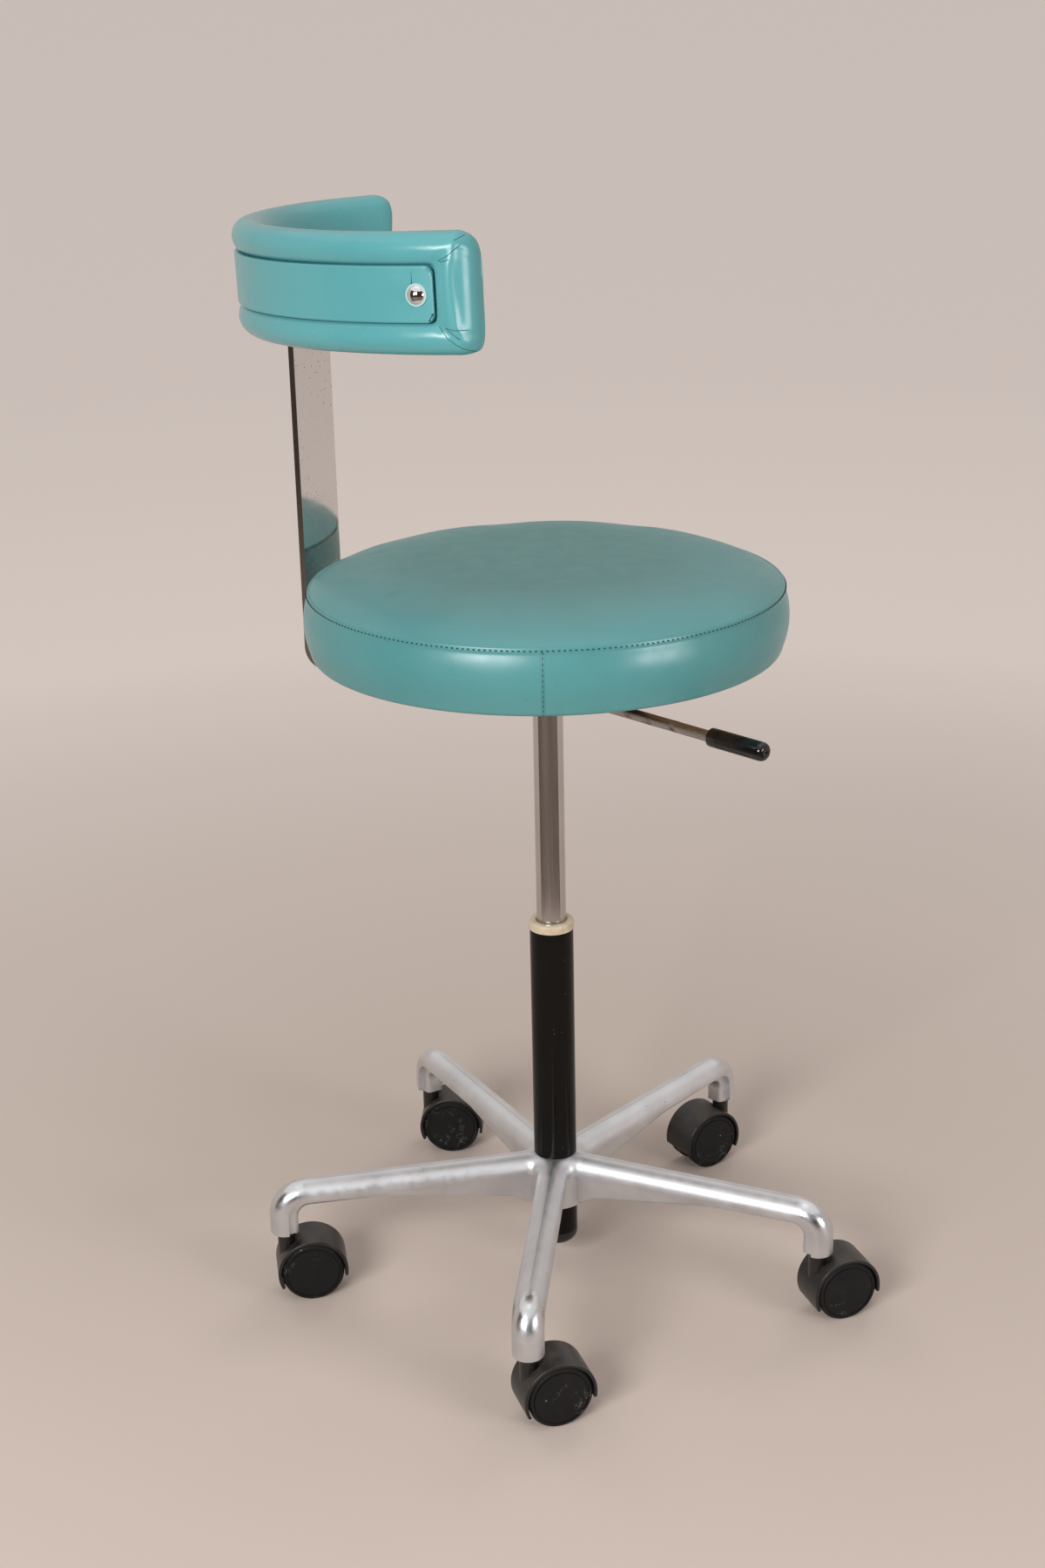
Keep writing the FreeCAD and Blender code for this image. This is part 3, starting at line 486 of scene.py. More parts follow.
# %% Polished lift tube
def polished_tube():
    """Chrome with fine marks along its length from sliding in the bush."""
    material, shader, spot = finish("polished_tube")
    streaks = noise(place(shader, (1, 1, 0.02)), 900, 3)
    paint(shader, "Metallic", 1.0)
    cloud = noise(spot, 30, 3)
    paint(shader, "Base Color", mix(cloud, (0.5, 0.47, 0.45), (0.6, 0.57, 0.55)))
    paint(shader, "Roughness", remap(streaks, 0.3, 0.7, 0.1, 0.2))
    bump(shader, streaks, 0.02 * mm, 0.25)
    return material


tube_chrome = polished_tube()
print("chrome for the lift tube")

# %% [markdown]
# The base is one aluminium casting, satin all over. Feet have buffed it bright on the bend at the
# end of each arm. A faint dark line is painted along the top of each arm: a painted reflection, where
# the mirrored room changes across the round top. The arms repeat, so the angle round the column is
# folded into one arm's share, and one arm's line and bend then serve all five.

# %% Cast aluminium
arm_first = math.radians(-84.6)
arm_pitch = math.radians(72)


def cast_aluminium():
    """Satin casting, buffed on the bends, with a painted reflection line along each arm."""
    material, shader, spot = finish("cast_aluminium")
    x, y, z = axes_of(spot)
    radius = off_axis(spot)
    angle = maths("SUBTRACT", maths("ARCTAN2", y, x), arm_first - arm_pitch / 2)
    wrapped = maths("FLOORED_MODULO", angle, arm_pitch)
    turned_off = maths("SINE", maths("SUBTRACT", wrapped, arm_pitch / 2))
    across = times(radius, turned_off)
    # Painted reflection: a faint dark line along the top of each arm.
    painted_reflection_line = remap(maths("ABSOLUTE", across), 0.2 * mm, 0.7 * mm, 1, 0)
    painted_reflection_line = times(painted_reflection_line, remap(z, 0.1025, 0.1035))
    painted_reflection_line = times(painted_reflection_line, remap(radius, 0.21, 0.2))
    outer = remap(radius, 0.208, 0.222)
    bend = times(outer, remap(z, 0.078, 0.092))
    patch = remap(noise(spot, 70, 5), 0.4, 0.62)
    uneven = maths("ADD", 0.75, times(patch, 0.25))
    polish = times(bend, uneven)
    paint(shader, "Metallic", 1.0)
    cloud = remap(noise(spot, 35, 5), 0.3, 0.7)
    base = mix(cloud, (0.63, 0.635, 0.65), (0.73, 0.74, 0.76))
    nicks = specks(spot, 140, 0.1, 0.1)
    base = mix(nicks, base, (0.28, 0.27, 0.26))
    painted_line_share = times(painted_reflection_line, 0.45)
    paint(shader, "Base Color", mix(painted_line_share, base, (0.3, 0.29, 0.28)))
    satin = remap(noise(spot, 160, 4), 0.3, 0.7, 0.42, 0.54)
    gloss = times(polish, 0.24)
    paint(shader, "Roughness", maths("SUBTRACT", satin, gloss))
    skin = noise(spot, 300, 4)
    bump(shader, skin, 0.08 * mm, 0.25)
    return material


base_aluminium = cast_aluminium()
print("cast aluminium for the base")

# %% [markdown]
# The lever, the stems and the fasteners are plain steel, grey and dull, with patches of brown rust.
# Rust isn't a metal to light, so the same patch mask that colours it also takes its metal away.

# %% Plain steel with rust
def plain_steel():
    """Dull steel with brown rust in patches."""
    material, shader, spot = finish("plain_steel")
    patch = remap(noise(spot, 90, 6, 0.7), 0.56, 0.66)
    bare = mix(noise(spot, 50, 3), (0.34, 0.32, 0.3), (0.5, 0.48, 0.46))
    paint(shader, "Base Color", mix(patch, bare, (0.09, 0.042, 0.022)))
    paint(shader, "Metallic", maths("SUBTRACT", 1.0, patch))
    paint(shader, "Roughness", remap(patch, 0, 1, 0.3, 0.8))
    bump(shader, noise(spot, 500, 4), 0.06 * mm, 0.4)
    return material


steel = plain_steel()
print("steel for the lever and the fasteners")

# %% [markdown]
# Blacks are never flat. The column is stove enamel: a deep black with a gloss, dust on it, and the
# faint waves of thick paint. The colour stays well above pure black, so that its form still reads.

# %% Black enamel of the column
def black_enamel():
    """Glossy stove enamel with dust specks and a faint orange-peel."""
    material, shader, spot = finish("black_enamel")
    dust = specks(spot, 260, 0.13, 0.13)
    tone = mix(noise(spot, 20, 3), (0.003, 0.0027, 0.0025), (0.006, 0.0055, 0.005))
    paint(shader, "Base Color", mix(dust, tone, (0.12, 0.115, 0.11)))
    worn = remap(noise(spot, 45, 5), 0.35, 0.7, 0.12, 0.24)
    paint(shader, "Roughness", worn)
    paint(shader, "Specular IOR Level", 0.14)
    bump(shader, noise(spot, 220, 2), 0.05 * mm, 0.2)
    return material


enamel = black_enamel()
print("enamel for the column")

# %% [markdown]
# The castors are two plastics. The hoods are satin and have gone brown with dust where they face
# up, which the surface's own direction tells. The wheels are matt, with pale scratches: thin veins
# along the middle value of a noise, broken up by a second one.

# %% Castor plastics
def upward(shader, low, high):
    """How far a surface faces up, from 0 to 1."""
    normal = brick(shader, "NewGeometry").outputs["Normal"]
    return remap(axes_of(normal)[2], low, high)


def hood_plastic():
    """Satin black moulding with brown dust on what faces up."""
    material, shader, spot = finish("hood_plastic")
    drift = remap(noise(spot, 55, 5), 0.38, 0.7)
    dusty = times(upward(shader, 0.3, 1.0), drift)
    tone = mix(noise(spot, 60, 3), (0.006, 0.0058, 0.0055), (0.012, 0.0115, 0.011))
    dusted = mix(times(dusty, 0.6), tone, (0.11, 0.085, 0.065))
    nicks = specks(spot, 130, 0.08, 0.1)
    paint(shader, "Base Color", mix(nicks, dusted, (0.3, 0.28, 0.26)))
    paint(shader, "Roughness", remap(dusty, 0, 1, 0.34, 0.62))
    bump(shader, noise(spot, 500, 3), 0.06 * mm, 0.35)
    return material


def wheel_plastic():
    """Matt black disc with pale scratches and grit."""
    material, shader, spot = finish("wheel_plastic")
    wander = maths("SUBTRACT", noise(spot, 60, 6, 0.6), 0.5)
    veins = remap(maths("ABSOLUTE", wander), 0.0, 0.006, 1, 0)
    gaps = remap(noise(spot, 45, 3), 0.53, 0.61)
    scratch = times(veins, gaps)
    grit = specks(spot, 170, 0.12, 0.2)
    tone = mix(noise(spot, 90, 4), (0.004, 0.004, 0.004), (0.01, 0.0098, 0.0095))
    marked = mix(times(scratch, 0.55), tone, (0.34, 0.33, 0.32))
    paint(shader, "Base Color", mix(grit, marked, (0.3, 0.29, 0.28)))
    paint(shader, "Roughness", remap(noise(spot, 120, 4), 0.3, 0.7, 0.5, 0.68))
    paint(shader, "Specular IOR Level", 0.25)
    bump(shader, noise(spot, 700, 3), 0.08 * mm, 0.4)
    return material


hood_black = hood_plastic()
wheel_black = wheel_plastic()
print("plastics for the hoods and the wheels")

# %% [markdown]
# Three small finishes. The grip is a shiny black plastic, worn a little dull by hands. The bush at
# the top of the column is nylon that has yellowed. The seat's board is birch plywood, whose long
# grain is a noise squeezed across the board.

# %% Grip, bush and board
def moulded(name, wear, clean, worn, rough, skin):
    """Plain plastic: wear as (noise scale, start), two tones, and skin as (noise scale, depth)."""
    material, shader, spot = finish(name)
    use = remap(noise(spot, wear[0], 5), wear[1], 0.7)
    paint(shader, "Base Color", mix(use, clean, worn))
    paint(shader, "Roughness", remap(use, 0, 1, *rough))
    bump(shader, noise(spot, skin[0], 2), skin[1] * mm, 0.2)
    return material


def plywood():
    """Birch board: long grain, with knots of darker figure."""
    material, shader = finish("plywood")[:2]
    grain = noise(place(shader, (1, 14, 14)), 30, 6, 0.6)
    bands = remap(grain, 0.3, 0.7)
    paint(shader, "Base Color", mix(bands, (0.4, 0.26, 0.14), (0.6, 0.44, 0.27)))
    paint(shader, "Roughness", 0.7)
    bump(shader, grain, 0.15 * mm, 0.4)
    return material


grip_black = moulded(
    "gloss_grip", wear=(120, 0.35), clean=(0.005, 0.005, 0.005), worn=(0.011, 0.01, 0.01),
    rough=(0.09, 0.2), skin=(260, 0.05),
)
ivory = moulded(
    "ivory_nylon", wear=(110, 0.45), clean=(0.7, 0.6, 0.44), worn=(0.55, 0.43, 0.28),
    rough=(0.3, 0.45), skin=(300, 0.04),
)
board_wood = plywood()
print("finishes:", len(bpy.data.materials))

# %% [markdown]
# Dressing the frame. The rigid pieces keep their solids. Each takes the finish of its record
# slot, so the same table that names a slot for the record decides its looks here.

# %% Finishes for the rigid pieces
finish_of_slot = {
    "cast_aluminium": base_aluminium,
    "black_enamel": enamel,
    "black_plastic": hood_black,
    "wheel_plastic": wheel_black,
    "gloss_black": grip_black,
    "ivory_plastic": ivory,
    "plain_steel": steel,
    "chrome_tube": tube_chrome,
    "chrome_strap": strap_chrome,
    "plywood": board_wood,
    "teal_vinyl": seat_vinyl,
}
for part in frame["record"]["subparts"]:
    piece = nodes[part["node"]]
    piece.data.materials.clear()
    piece.data.materials.append(finish_of_slot[part["material_slot"]])
print("dressed", len(nodes), "rigid nodes")

# %% [markdown]
# The domed screws hold the band at its two ends. The head is a chromed mirror, and the flange round
# it has gone pale and dull. One finish does both: it measures how far a point lies from the axis
# of its screw, and changes from mirror to dull at the foot of the dome.

# %% Dome screws
pad_mid = Vector((0, 212.0, 834.9)) * mm
pad_lean = math.radians(-1.76)
screw_degs = (75.2, 188.0)
screw_r = 220 * mm
dome_foot = 5.6 * mm
dome_ragged = 1.2 * mm


def heading(deg):
    """Horizontal direction at an angle from +X."""
    return Vector((math.cos(math.radians(deg)), math.sin(math.radians(deg)), 0))


def vectors(operation, first, second=(0, 0, 0)):
    """One step of vector arithmetic, where a length comes out as a number."""
    node = brick(first, "VectorMath")
    node.operation = operation
    plug(first, node.inputs[0])
    plug(second, node.inputs[1])
    return node.outputs["Value" if operation == "LENGTH" else "Vector"]


def dome_chrome(axes):
    """Mirror dome on a pale, dull flange, for screws with these (centre, direction) axes."""
    material, shader, spot = finish("dome_chrome")
    nearest = None
    for centre, direction in axes:
        offset = vectors("SUBTRACT", spot, centre)
        swept = vectors("CROSS_PRODUCT", offset, direction)
        distance = vectors("LENGTH", swept)
        nearest = distance if nearest is None else maths("MINIMUM", nearest, distance)
    uneven = times(noise(spot, 500, 3), dome_ragged)
    ragged = maths("ADD", nearest, uneven)
    flange = remap(ragged, dome_foot + 0.5 * mm, dome_foot + 0.9 * mm)
    paint(shader, "Base Color", mix(flange, (0.8, 0.8, 0.82), (0.5, 0.62, 0.6)))
    paint(shader, "Metallic", maths("SUBTRACT", 1.0, flange))
    paint(shader, "Roughness", remap(flange, 0, 1, 0.06, 0.5))
    return material


leaning = Matrix.Rotation(pad_lean, 3, "X")
screw_axes = []
for deg in screw_degs:
    out = heading(deg)
    foot = out * screw_r + Vector((0, 0, pad_mid.z))
    screw_axes.append((pad_mid + leaning @ (foot - pad_mid), leaning @ out))
nodes["band_screws"].data.materials[0] = dome_chrome(screw_axes)
print("dome screws at", [tuple(round(v, 3) for v in centre) for centre, direction in screw_axes])

# %% [markdown]
# Stuffing. Foam under a tight cover is a closed skin under pressure. The cloth solver blows each
# skin up while its sewn lines stay pinned, and the movement of any point is capped, so that a pad
# stays the size that its frame piece says. The cloth is applied at once: only a mesh is left.

# %% Tools for stuffed pieces
cloth_frames = 20


def turned(name, profile, steps):
    """A closed skin turned about the column from (radius, height) points in millimetres."""
    piece = draw_chain(name, [Vector((r, 0, z)) * mm for r, z in profile])
    spin(steps)
    weld(0.01 * mm)
    bpy.ops.object.mode_set(mode="OBJECT")
    return piece


def inflate(piece, sewn, pressure, cap):
    """Blow up a skin whose sewn points stay put, and cap how far a point moves."""
    only(piece)
    before = [vert.co.copy() for vert in piece.data.vertices]
    pins = piece.vertex_groups.new(name="sewn")
    pins.add([vert.index for vert in piece.data.vertices if sewn(vert.co)], 1.0, "REPLACE")
    bpy.ops.object.modifier_add(type="CLOTH")
    cloth = piece.modifiers[-1]
    cloth.settings.quality = 6
    cloth.settings.mass = 0.3
    cloth.settings.tension_stiffness = 40
    cloth.settings.compression_stiffness = 40
    cloth.settings.shear_stiffness = 20
    cloth.settings.bending_stiffness = 20
    cloth.settings.use_pressure = True
    cloth.settings.uniform_pressure_force = pressure
    cloth.settings.effector_weights.gravity = 0
    cloth.settings.vertex_group_mass = pins.name
    cloth.settings.pin_stiffness = 1
    cloth.point_cache.frame_start = 1
    cloth.point_cache.frame_end = cloth_frames
    for step in range(1, cloth_frames + 1):
        bpy.context.scene.frame_set(step)
    bpy.ops.object.modifier_apply(modifier=cloth.name)
    bpy.context.scene.frame_set(1)
    furthest = 0
    for vert, home in zip(piece.data.vertices, before):
        move = vert.co - home
        furthest = max(furthest, move.length)
        if move.length > cap:
            vert.co = home + move.normalized() * cap
    piece.vertex_groups.clear()
    print(piece.name, "moved up to", round(furthest / mm, 1), "mm, capped at", round(cap / mm, 1))

# %% [markdown]
# The seat. A round top panel and a straight side band of vinyl are sewn together inside out,
# turned, pulled over a foam disc and stapled under its board. So the top is a shallow crown that
# turns down over a round shoulder, the seam draws it in, and the band swells below the seam. The
# seam allowance is folded into the band, which leaves a dark crevice, a thin raised lip and a line
# of stitches under it. All of that is one turned profile.

# %% Profile of the seat
shoulder_r = 145.5
shoulder_z = 613.8
crown_rise = 3.0
shoulder_arc = 54.3
shoulder_centre = (143.26, 559.55)
side_r = 187.5
side_arc = 57.6
side_mid_z = 573.8
seat_slack = 1.2
seat_steps = 160


def crown(r):
    """Height of the seat's top at a radius."""
    if r < shoulder_r:
        return shoulder_z + crown_rise * (1 - (r / shoulder_r) ** 2)
    return shoulder_centre[1] + math.sqrt(shoulder_arc ** 2 - (r - shoulder_centre[0]) ** 2)


def side(z):
    """Radius of the side band at a height."""
    return side_r - side_arc + math.sqrt(side_arc ** 2 - (z - side_mid_z) ** 2)


top_radii = (0, 12, 26, 42, 58, 74, 90, 106, 120, 132, 142, 150, 157, 163, 168, 172.5, 176, 178.6)
top = [(r, crown(r) - seat_slack) for r in top_radii]
seam = [
    (180.2, 598.6), (181.0, 598.15), (181.4, 597.75), (181.9, 598.25), (182.5, 598.4),
    (183.0, 597.9), (183.25, 597.0), (183.3, 596.2), (183.7, 595.3),
]
band_z = (594.2, 591, 587, 582.5, 578, 573.8, 569.5, 565, 560.5, 556.5, 553.2)
band = [(side(z) - seat_slack / 2, z) for z in band_z]
tucked = [(182.6, 550.4), (181.2, 548.4), (179.2, 547.4), (176, 547.35), (172.2, 547.35)]
on_board = [
    (172.2, 553), (172.2, 559.4), (168, 559.6), (130, 559.6), (80, 559.6), (30, 559.6), (0, 559.6),
]
seat_profile = top + seam + band + tucked + on_board
seat_pad = turned("seat_pad", seat_profile, seat_steps)
print("seat profile:", len(seat_profile), "points")

# %% [markdown]
# Stuffing the seat. Only foam can move, so the seam, the edge that is stapled under the board and
# the part that lies on the board are pinned. Pressure leaves small waves in the top, which years
# of sitting have pressed flat on the real one, so the top is smoothed at the end.

# %% Stuff the seat
seat_pressure = 4.0
seat_cap = 2.4 * mm
top_edge_r = 178 * mm
top_edge_z = 596 * mm


def pick_verts(piece, wanted):
    """In edit mode, select the points that pass a test on their place."""
    bpy.ops.mesh.select_mode(type="VERT")
    bpy.ops.mesh.select_all(action="DESELECT")
    mesh = bmesh.from_edit_mesh(piece.data)
    for vert in mesh.verts:
        vert.select = wanted(vert.co)
    mesh.select_flush(True)
    bmesh.update_edit_mesh(piece.data)


def dress(piece, body, slot, material, *replaced):
    """Give a finished piece its finish and the body that it moves with."""
    piece.data.materials.clear()
    piece.data.materials.append(material)
    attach(piece, body)
    if replaced:
        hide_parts(*replaced)


def seat_sewn(co):
    """The seam, the stapled edge and what lies on the board."""
    r = co.xy.length / mm
    z = co.z / mm
    return (r > 179.5 and z > 595.5) or z < 549 or (r < 172.5 and z < 559.8)


inflate(seat_pad, seat_sewn, seat_pressure, seat_cap)
only(seat_pad)
bpy.ops.object.mode_set(mode="EDIT")
pick_verts(seat_pad, lambda co: co.xy.length < top_edge_r and co.z > top_edge_z)
bpy.ops.mesh.vertices_smooth(factor=0.5, repeat=10)
bpy.ops.object.mode_set(mode="OBJECT")
finish_shape(seat_pad, 1, 60)
dress(seat_pad, "seat", "teal_vinyl", seat_vinyl, "seat_cushion")
seat_high = max(vert.co.z for vert in seat_pad.data.vertices)
print("seat top at", round(seat_high / mm, 1), "mm")

# %% [markdown]
# Stitches. One stitch is a short dark capsule lying in the dip under the lip. A spin with copies
# sets it round the seat at a real stitch length, which is quicker and steadier than modelling a
# thread, and each stitch stays a few dozen faces.

# %% Stitches round the seam
stitch_pitch = 4.0
stitch_half = 0.9
stitch_thick = 0.55
stitch_r = 183.75
stitch_z = 596.2


def one_stitch(name, spot, size):
    """A short capsule, its place and its size in its mesh, left selected in edit mode."""
    bpy.ops.object.select_all(action="DESELECT")
    bpy.ops.mesh.primitive_uv_sphere_add(segments=6, ring_count=5, radius=1, location=spot)
    piece = bpy.context.object
    piece.name = name
    piece.scale = Vector(size) * mm
    bpy.ops.object.transform_apply(location=True, rotation=True, scale=True)
    bpy.ops.object.mode_set(mode="EDIT")
    bpy.ops.mesh.select_all(action="SELECT")
    return piece


first_spot = Vector((stitch_r, 0, stitch_z)) * mm
stitches = one_stitch("seat_stitches", first_spot, (stitch_thick, stitch_half, stitch_thick))
stitch_count = round(2 * math.pi * stitch_r / stitch_pitch)
copies = stitch_count - 1
to_last = 2 * math.pi * copies / stitch_count
spin(copies, to_last, copies=True)
bpy.ops.object.mode_set(mode="OBJECT")
finish_shape(stitches, 0, 60)
dress(stitches, "seat", "teal_vinyl", thread)
print("stitches:", stitch_count)

# %% [markdown]
# The band's own joint. The side band is one long strip, and its two ends are sewn together in an
# upright seam at the front: two folded edges stand up side by side, with a row of stitches sunk
# between them. Each edge is a thin tube laid on the finished skin, which a ray finds from outside.

# %% Upright seam in the side band
joint_deg = 208.2
joint_top = 594.6
joint_low = 548.8
joint_rows = 24
edge_gap = 0.75
edge_thick = 0.5
clear_of_seat = 250 * mm


def on_skin(piece, start, aim):
    """Where a ray from a start point meets a piece."""
    hit, spot = piece.ray_cast(start, aim)[:2]
    return spot if hit else None


def thin_tube(name, points, thick):
    """A closed tube of small radius along a chain of points."""
    piece = draw_chain(name, points)
    bpy.ops.object.mode_set(mode="OBJECT")
    only(piece)
    bpy.ops.object.convert(target="CURVE")
    piece = bpy.context.object
    piece.data.bevel_depth = thick * mm
    piece.data.bevel_resolution = 2
    piece.data.use_fill_caps = True
    bpy.ops.object.convert(target="MESH")
    piece = bpy.context.object
    bpy.ops.object.mode_set(mode="EDIT")
    weld(0.01 * mm)
    bpy.ops.object.mode_set(mode="OBJECT")
    bpy.ops.object.shade_smooth_by_angle(angle=math.radians(60))
    return piece


def joined(name, pieces):
    """Several pieces as one."""
    bpy.ops.object.select_all(action="DESELECT")
    for piece in pieces:
        piece.select_set(True)
    bpy.context.view_layer.objects.active = pieces[0]
    bpy.ops.object.join()
    pieces[0].name = name
    print(name, len(pieces[0].data.polygons), "faces")
    return pieces[0]


def joint_line(offset):
    """Points down the side band, a small way to one side of the seam's middle."""
    outward = heading(joint_deg)
    start = outward * clear_of_seat + heading(joint_deg + 90) * (offset * mm)
    heights = [joint_top + (joint_low - joint_top) * k / joint_rows for k in range(joint_rows + 1)]
    return [on_skin(seat_pad, start + Vector((0, 0, z * mm)), -outward) for z in heights]


bpy.context.view_layer.update()
left_edge = thin_tube("joint_edge", joint_line(-edge_gap), edge_thick)
right_edge = thin_tube("joint_edge", joint_line(edge_gap), edge_thick)
side_joint = joined("side_joint", [left_edge, right_edge])
dress(side_joint, "seat", "teal_vinyl", seat_vinyl)

# %% [markdown]
# The joint's stitches stand upright between its two edges. The band swells, so a straight row would
# leave it: each copy of the stitch moves on to the next place that a ray found on the skin.

# %% Stitches between the two edges
joint_thick = 0.5
rows_apart = 2

row = joint_line(0)
joint_stitches = one_stitch("joint_stitches", row[0], (joint_thick, joint_thick, stitch_half))
for here, there in zip(row[::rows_apart], row[rows_apart::rows_apart]):
    bpy.ops.mesh.duplicate_move(TRANSFORM_OT_translate={"value": there - here})
bpy.ops.object.mode_set(mode="OBJECT")
finish_shape(joint_stitches, 0, 60)
dress(joint_stitches, "seat", "teal_vinyl", thread)

# %% [markdown]
# The back pad. Foam rolls are wrapped round a curved carrier so that they frame a flat covered
# band, like a picture in its frame: a roll above, one below, and one across each end. The pad is
# the same all along its curve, so it starts as one section, drawn once for its upper half and
# mirrored for the lower.

# %% Section of the back pad
far_end = 64.4
near_end = 198.8
band_short = 7.85
pocket_spare = 0.12
tip_len_deg = 3.85
pocket_half = 18.75
pocket_floor_r = 213.5
pocket_rim_r = 218.2
crest_r = 221.7
inner_r = 195.7

outside = [
    (219.9, 21.6), (221.1, 24.8), (crest_r, 28.2), (221.0, 32.0), (219.2, 35.5), (216.4, 38.1), (213.0, 39.5),
]
inside = [
    (209.0, 40.0), (204.9, 39.6), (200.6, 37.4), (197.3, 33.1), (195.9, 27.3), (inner_r, 18), (inner_r, 9),
]
pocket = [(pocket_rim_r, pocket_half), (pocket_rim_r, 9.3)]
upper = pocket[::-1] + outside + inside
lower = [(r, -z) for r, z in upper[::-1]]
section = [(pocket_rim_r, 0)] + upper + [(inner_r, 0)] + lower
print("pad section:", len(section), "points")

# %% [markdown]
# The section is spun about the column in three runs, so that a ring of points falls exactly on each
# end of the band. Fine steps past the band's ends leave room for the end rolls. A sweep along a
# curve would do as well, but the spin keeps the pad's true centre.

# %% Spin the section round the column
def at_angle(co, deg):
    """On the upright plane that stands at an angle from +X."""
    flat = co.xy.to_3d()
    return abs(flat.dot(heading(deg + 90))) < 0.1 * mm and flat.dot(heading(deg)) > 0


end_steps = 6
band_steps = 86
spin_start = far_end + tip_len_deg
first = far_end + band_short - pocket_spare
last = near_end - band_short + pocket_spare
spin_end = near_end - tip_len_deg
swing = Matrix.Rotation(math.radians(spin_start), 3, "Z")
ring = [swing @ Vector((r * mm, 0, pad_mid.z + z * mm)) for r, z in section]
back_pad = draw_chain("back_pad", ring)
bpy.ops.mesh.edge_face_add()
bpy.ops.mesh.delete(type="ONLY_FACE")
runs = ((spin_start, first, end_steps), (first, last, band_steps), (last, spin_end, end_steps))
for start_deg, end_deg, steps in runs:
    pick_verts(back_pad, lambda co: at_angle(co, start_deg))
    spin(steps, math.radians(start_deg - end_deg))
print("pad spun over", round(spin_end - spin_start, 1), "degrees")

# %% [markdown]
# The end rolls. Across each end of the band the foam is as full as above and below it, and where two
# rolls meet, the cover is folded in a mitre, as on the corner of a parcel. Each skin point past the
# band is lifted to an arch, and lowered along the slanting line of the fold.

# %% Swell the end rolls and fold their corners
pad_outside_r = 212.0
arch_top = 28.5
fold_top = 34.0
band_edge = 0.2
roll_crest = 12.0
roll_r = 20.5
fold_depth = 1.5
fold_half = 4.5
fold_slope = 1.5


def end_roll(co):
    """Place of a skin point past the band's end: up to the roll's arch, down in the fold."""
    deg = math.degrees(math.atan2(co.y, co.x)) % 360
    past = math.radians(max(first - deg, deg - last)) * crest_r
    high = abs(co.z - pad_mid.z) / mm
    r = co.xy.length / mm
    if past < band_edge or r < pad_outside_r or high > fold_top:
        return co
    arch = crest_r - roll_r + math.sqrt(roll_r ** 2 - (past - roll_crest) ** 2)
    fold = max(0, 1 - abs(past - fold_slope * (high - pocket_half)) / fold_half)
    new_r = (max(r, arch) if high < arch_top else r) - fold_depth * fold
    return Vector((co.x * new_r / r, co.y * new_r / r, co.z))


mesh = bmesh.from_edit_mesh(back_pad.data)
for vert in mesh.verts:
    vert.co = end_roll(vert.co)
bmesh.update_edit_mesh(back_pad.data)
pad_high = max(vert.co.xy.length for vert in mesh.verts)
print("end rolls reach", round(pad_high / mm, 1), "mm from the column")

# %% [markdown]
# The tips. Past its end rolls the pad closes in a blunt, round tip that leans to the inside of the
# curve. The end loop is extruded in short steps and each step is made a little smaller about a point
# low on the inside, as a potter closes a neck. The far tip is shorter and blunter than the near one.

# %% Draw out and close the tips
def tip(centre, along, steps):
    """Draw out the selected end loop in steps of (length, width left, height left)."""
    wide = 1.0
    tall = 1.0
    for length, width, height in steps:
        bpy.ops.mesh.extrude_region_move(TRANSFORM_OT_translate={"value": along * (length * mm)})
        centre = centre + along * (length * mm)
        shrink = (width / wide, width / wide, height / tall)
        bpy.ops.transform.resize(value=shrink, center_override=centre)
        wide = width
        tall = height
    bpy.ops.mesh.edge_face_add()


tip_steps = (
    (2.6, 0.95, 0.989), (2.9, 0.879, 0.969), (2.5, 0.792, 0.942), (2.1, 0.694, 0.91), (1.7, 0.59, 0.874),
    (1.3, 0.485, 0.837), (0.9, 0.39, 0.801), (0.6, 0.306, 0.768), (0.5, 0.207, 0.728), (0.3, 0.109, 0.685),
)
tip_low = 14.0
tip_mid_r = 201.0
far_reach = 0.8
far_round = 0.6
near_reach = 0.9
far_tip = [(length * far_reach, width, 1 - (1 - height) * far_round) for length, width, height in tip_steps]
near_tip = [(length * near_reach, width, height) for length, width, height in tip_steps]
for deg, sense, steps in ((spin_start, -1, far_tip), (spin_end, 1, near_tip)):
    pick_verts(back_pad, lambda co: at_angle(co, deg))
    middle = heading(deg) * (tip_mid_r * mm) + Vector((0, 0, pad_mid.z - tip_low * mm))
    tip(middle, heading(deg + 90) * sense, steps)
weld(0.02 * mm)
back_pad.update_from_editmode()
print("pad skin:", len(back_pad.data.polygons), "faces before the pocket")

# %% [markdown]
# The pocket. The band lies in a shallow pocket between the rolls. Its faces are extruded and drawn
# towards the column, and then the whole skin is blown up. The pocket is pinned meanwhile, so the
# rolls swell and tuck in behind the band.

# %% Push in the pocket and stuff the pad
pad_pressure = 4.0
pad_cap = 1.6 * mm


def pick_faces(piece, wanted):
    """In edit mode, select the faces whose centre passes a test."""
    bpy.ops.mesh.select_mode(type="FACE")
    bpy.ops.mesh.select_all(action="DESELECT")
    mesh = bmesh.from_edit_mesh(piece.data)
    for face in mesh.faces:
        face.select = wanted(face.calc_center_median())
    bmesh.update_edit_mesh(piece.data)


def in_pocket(co, spare_deg, spare):
    """Within the band's place on the outside of the pad."""
    deg = math.degrees(math.atan2(co.y, co.x)) % 360
    high = abs(co.z - pad_mid.z) / mm
    along = first - spare_deg < deg < last + spare_deg
    return along and high < pocket_half + spare and co.xy.length > pad_outside_r * mm


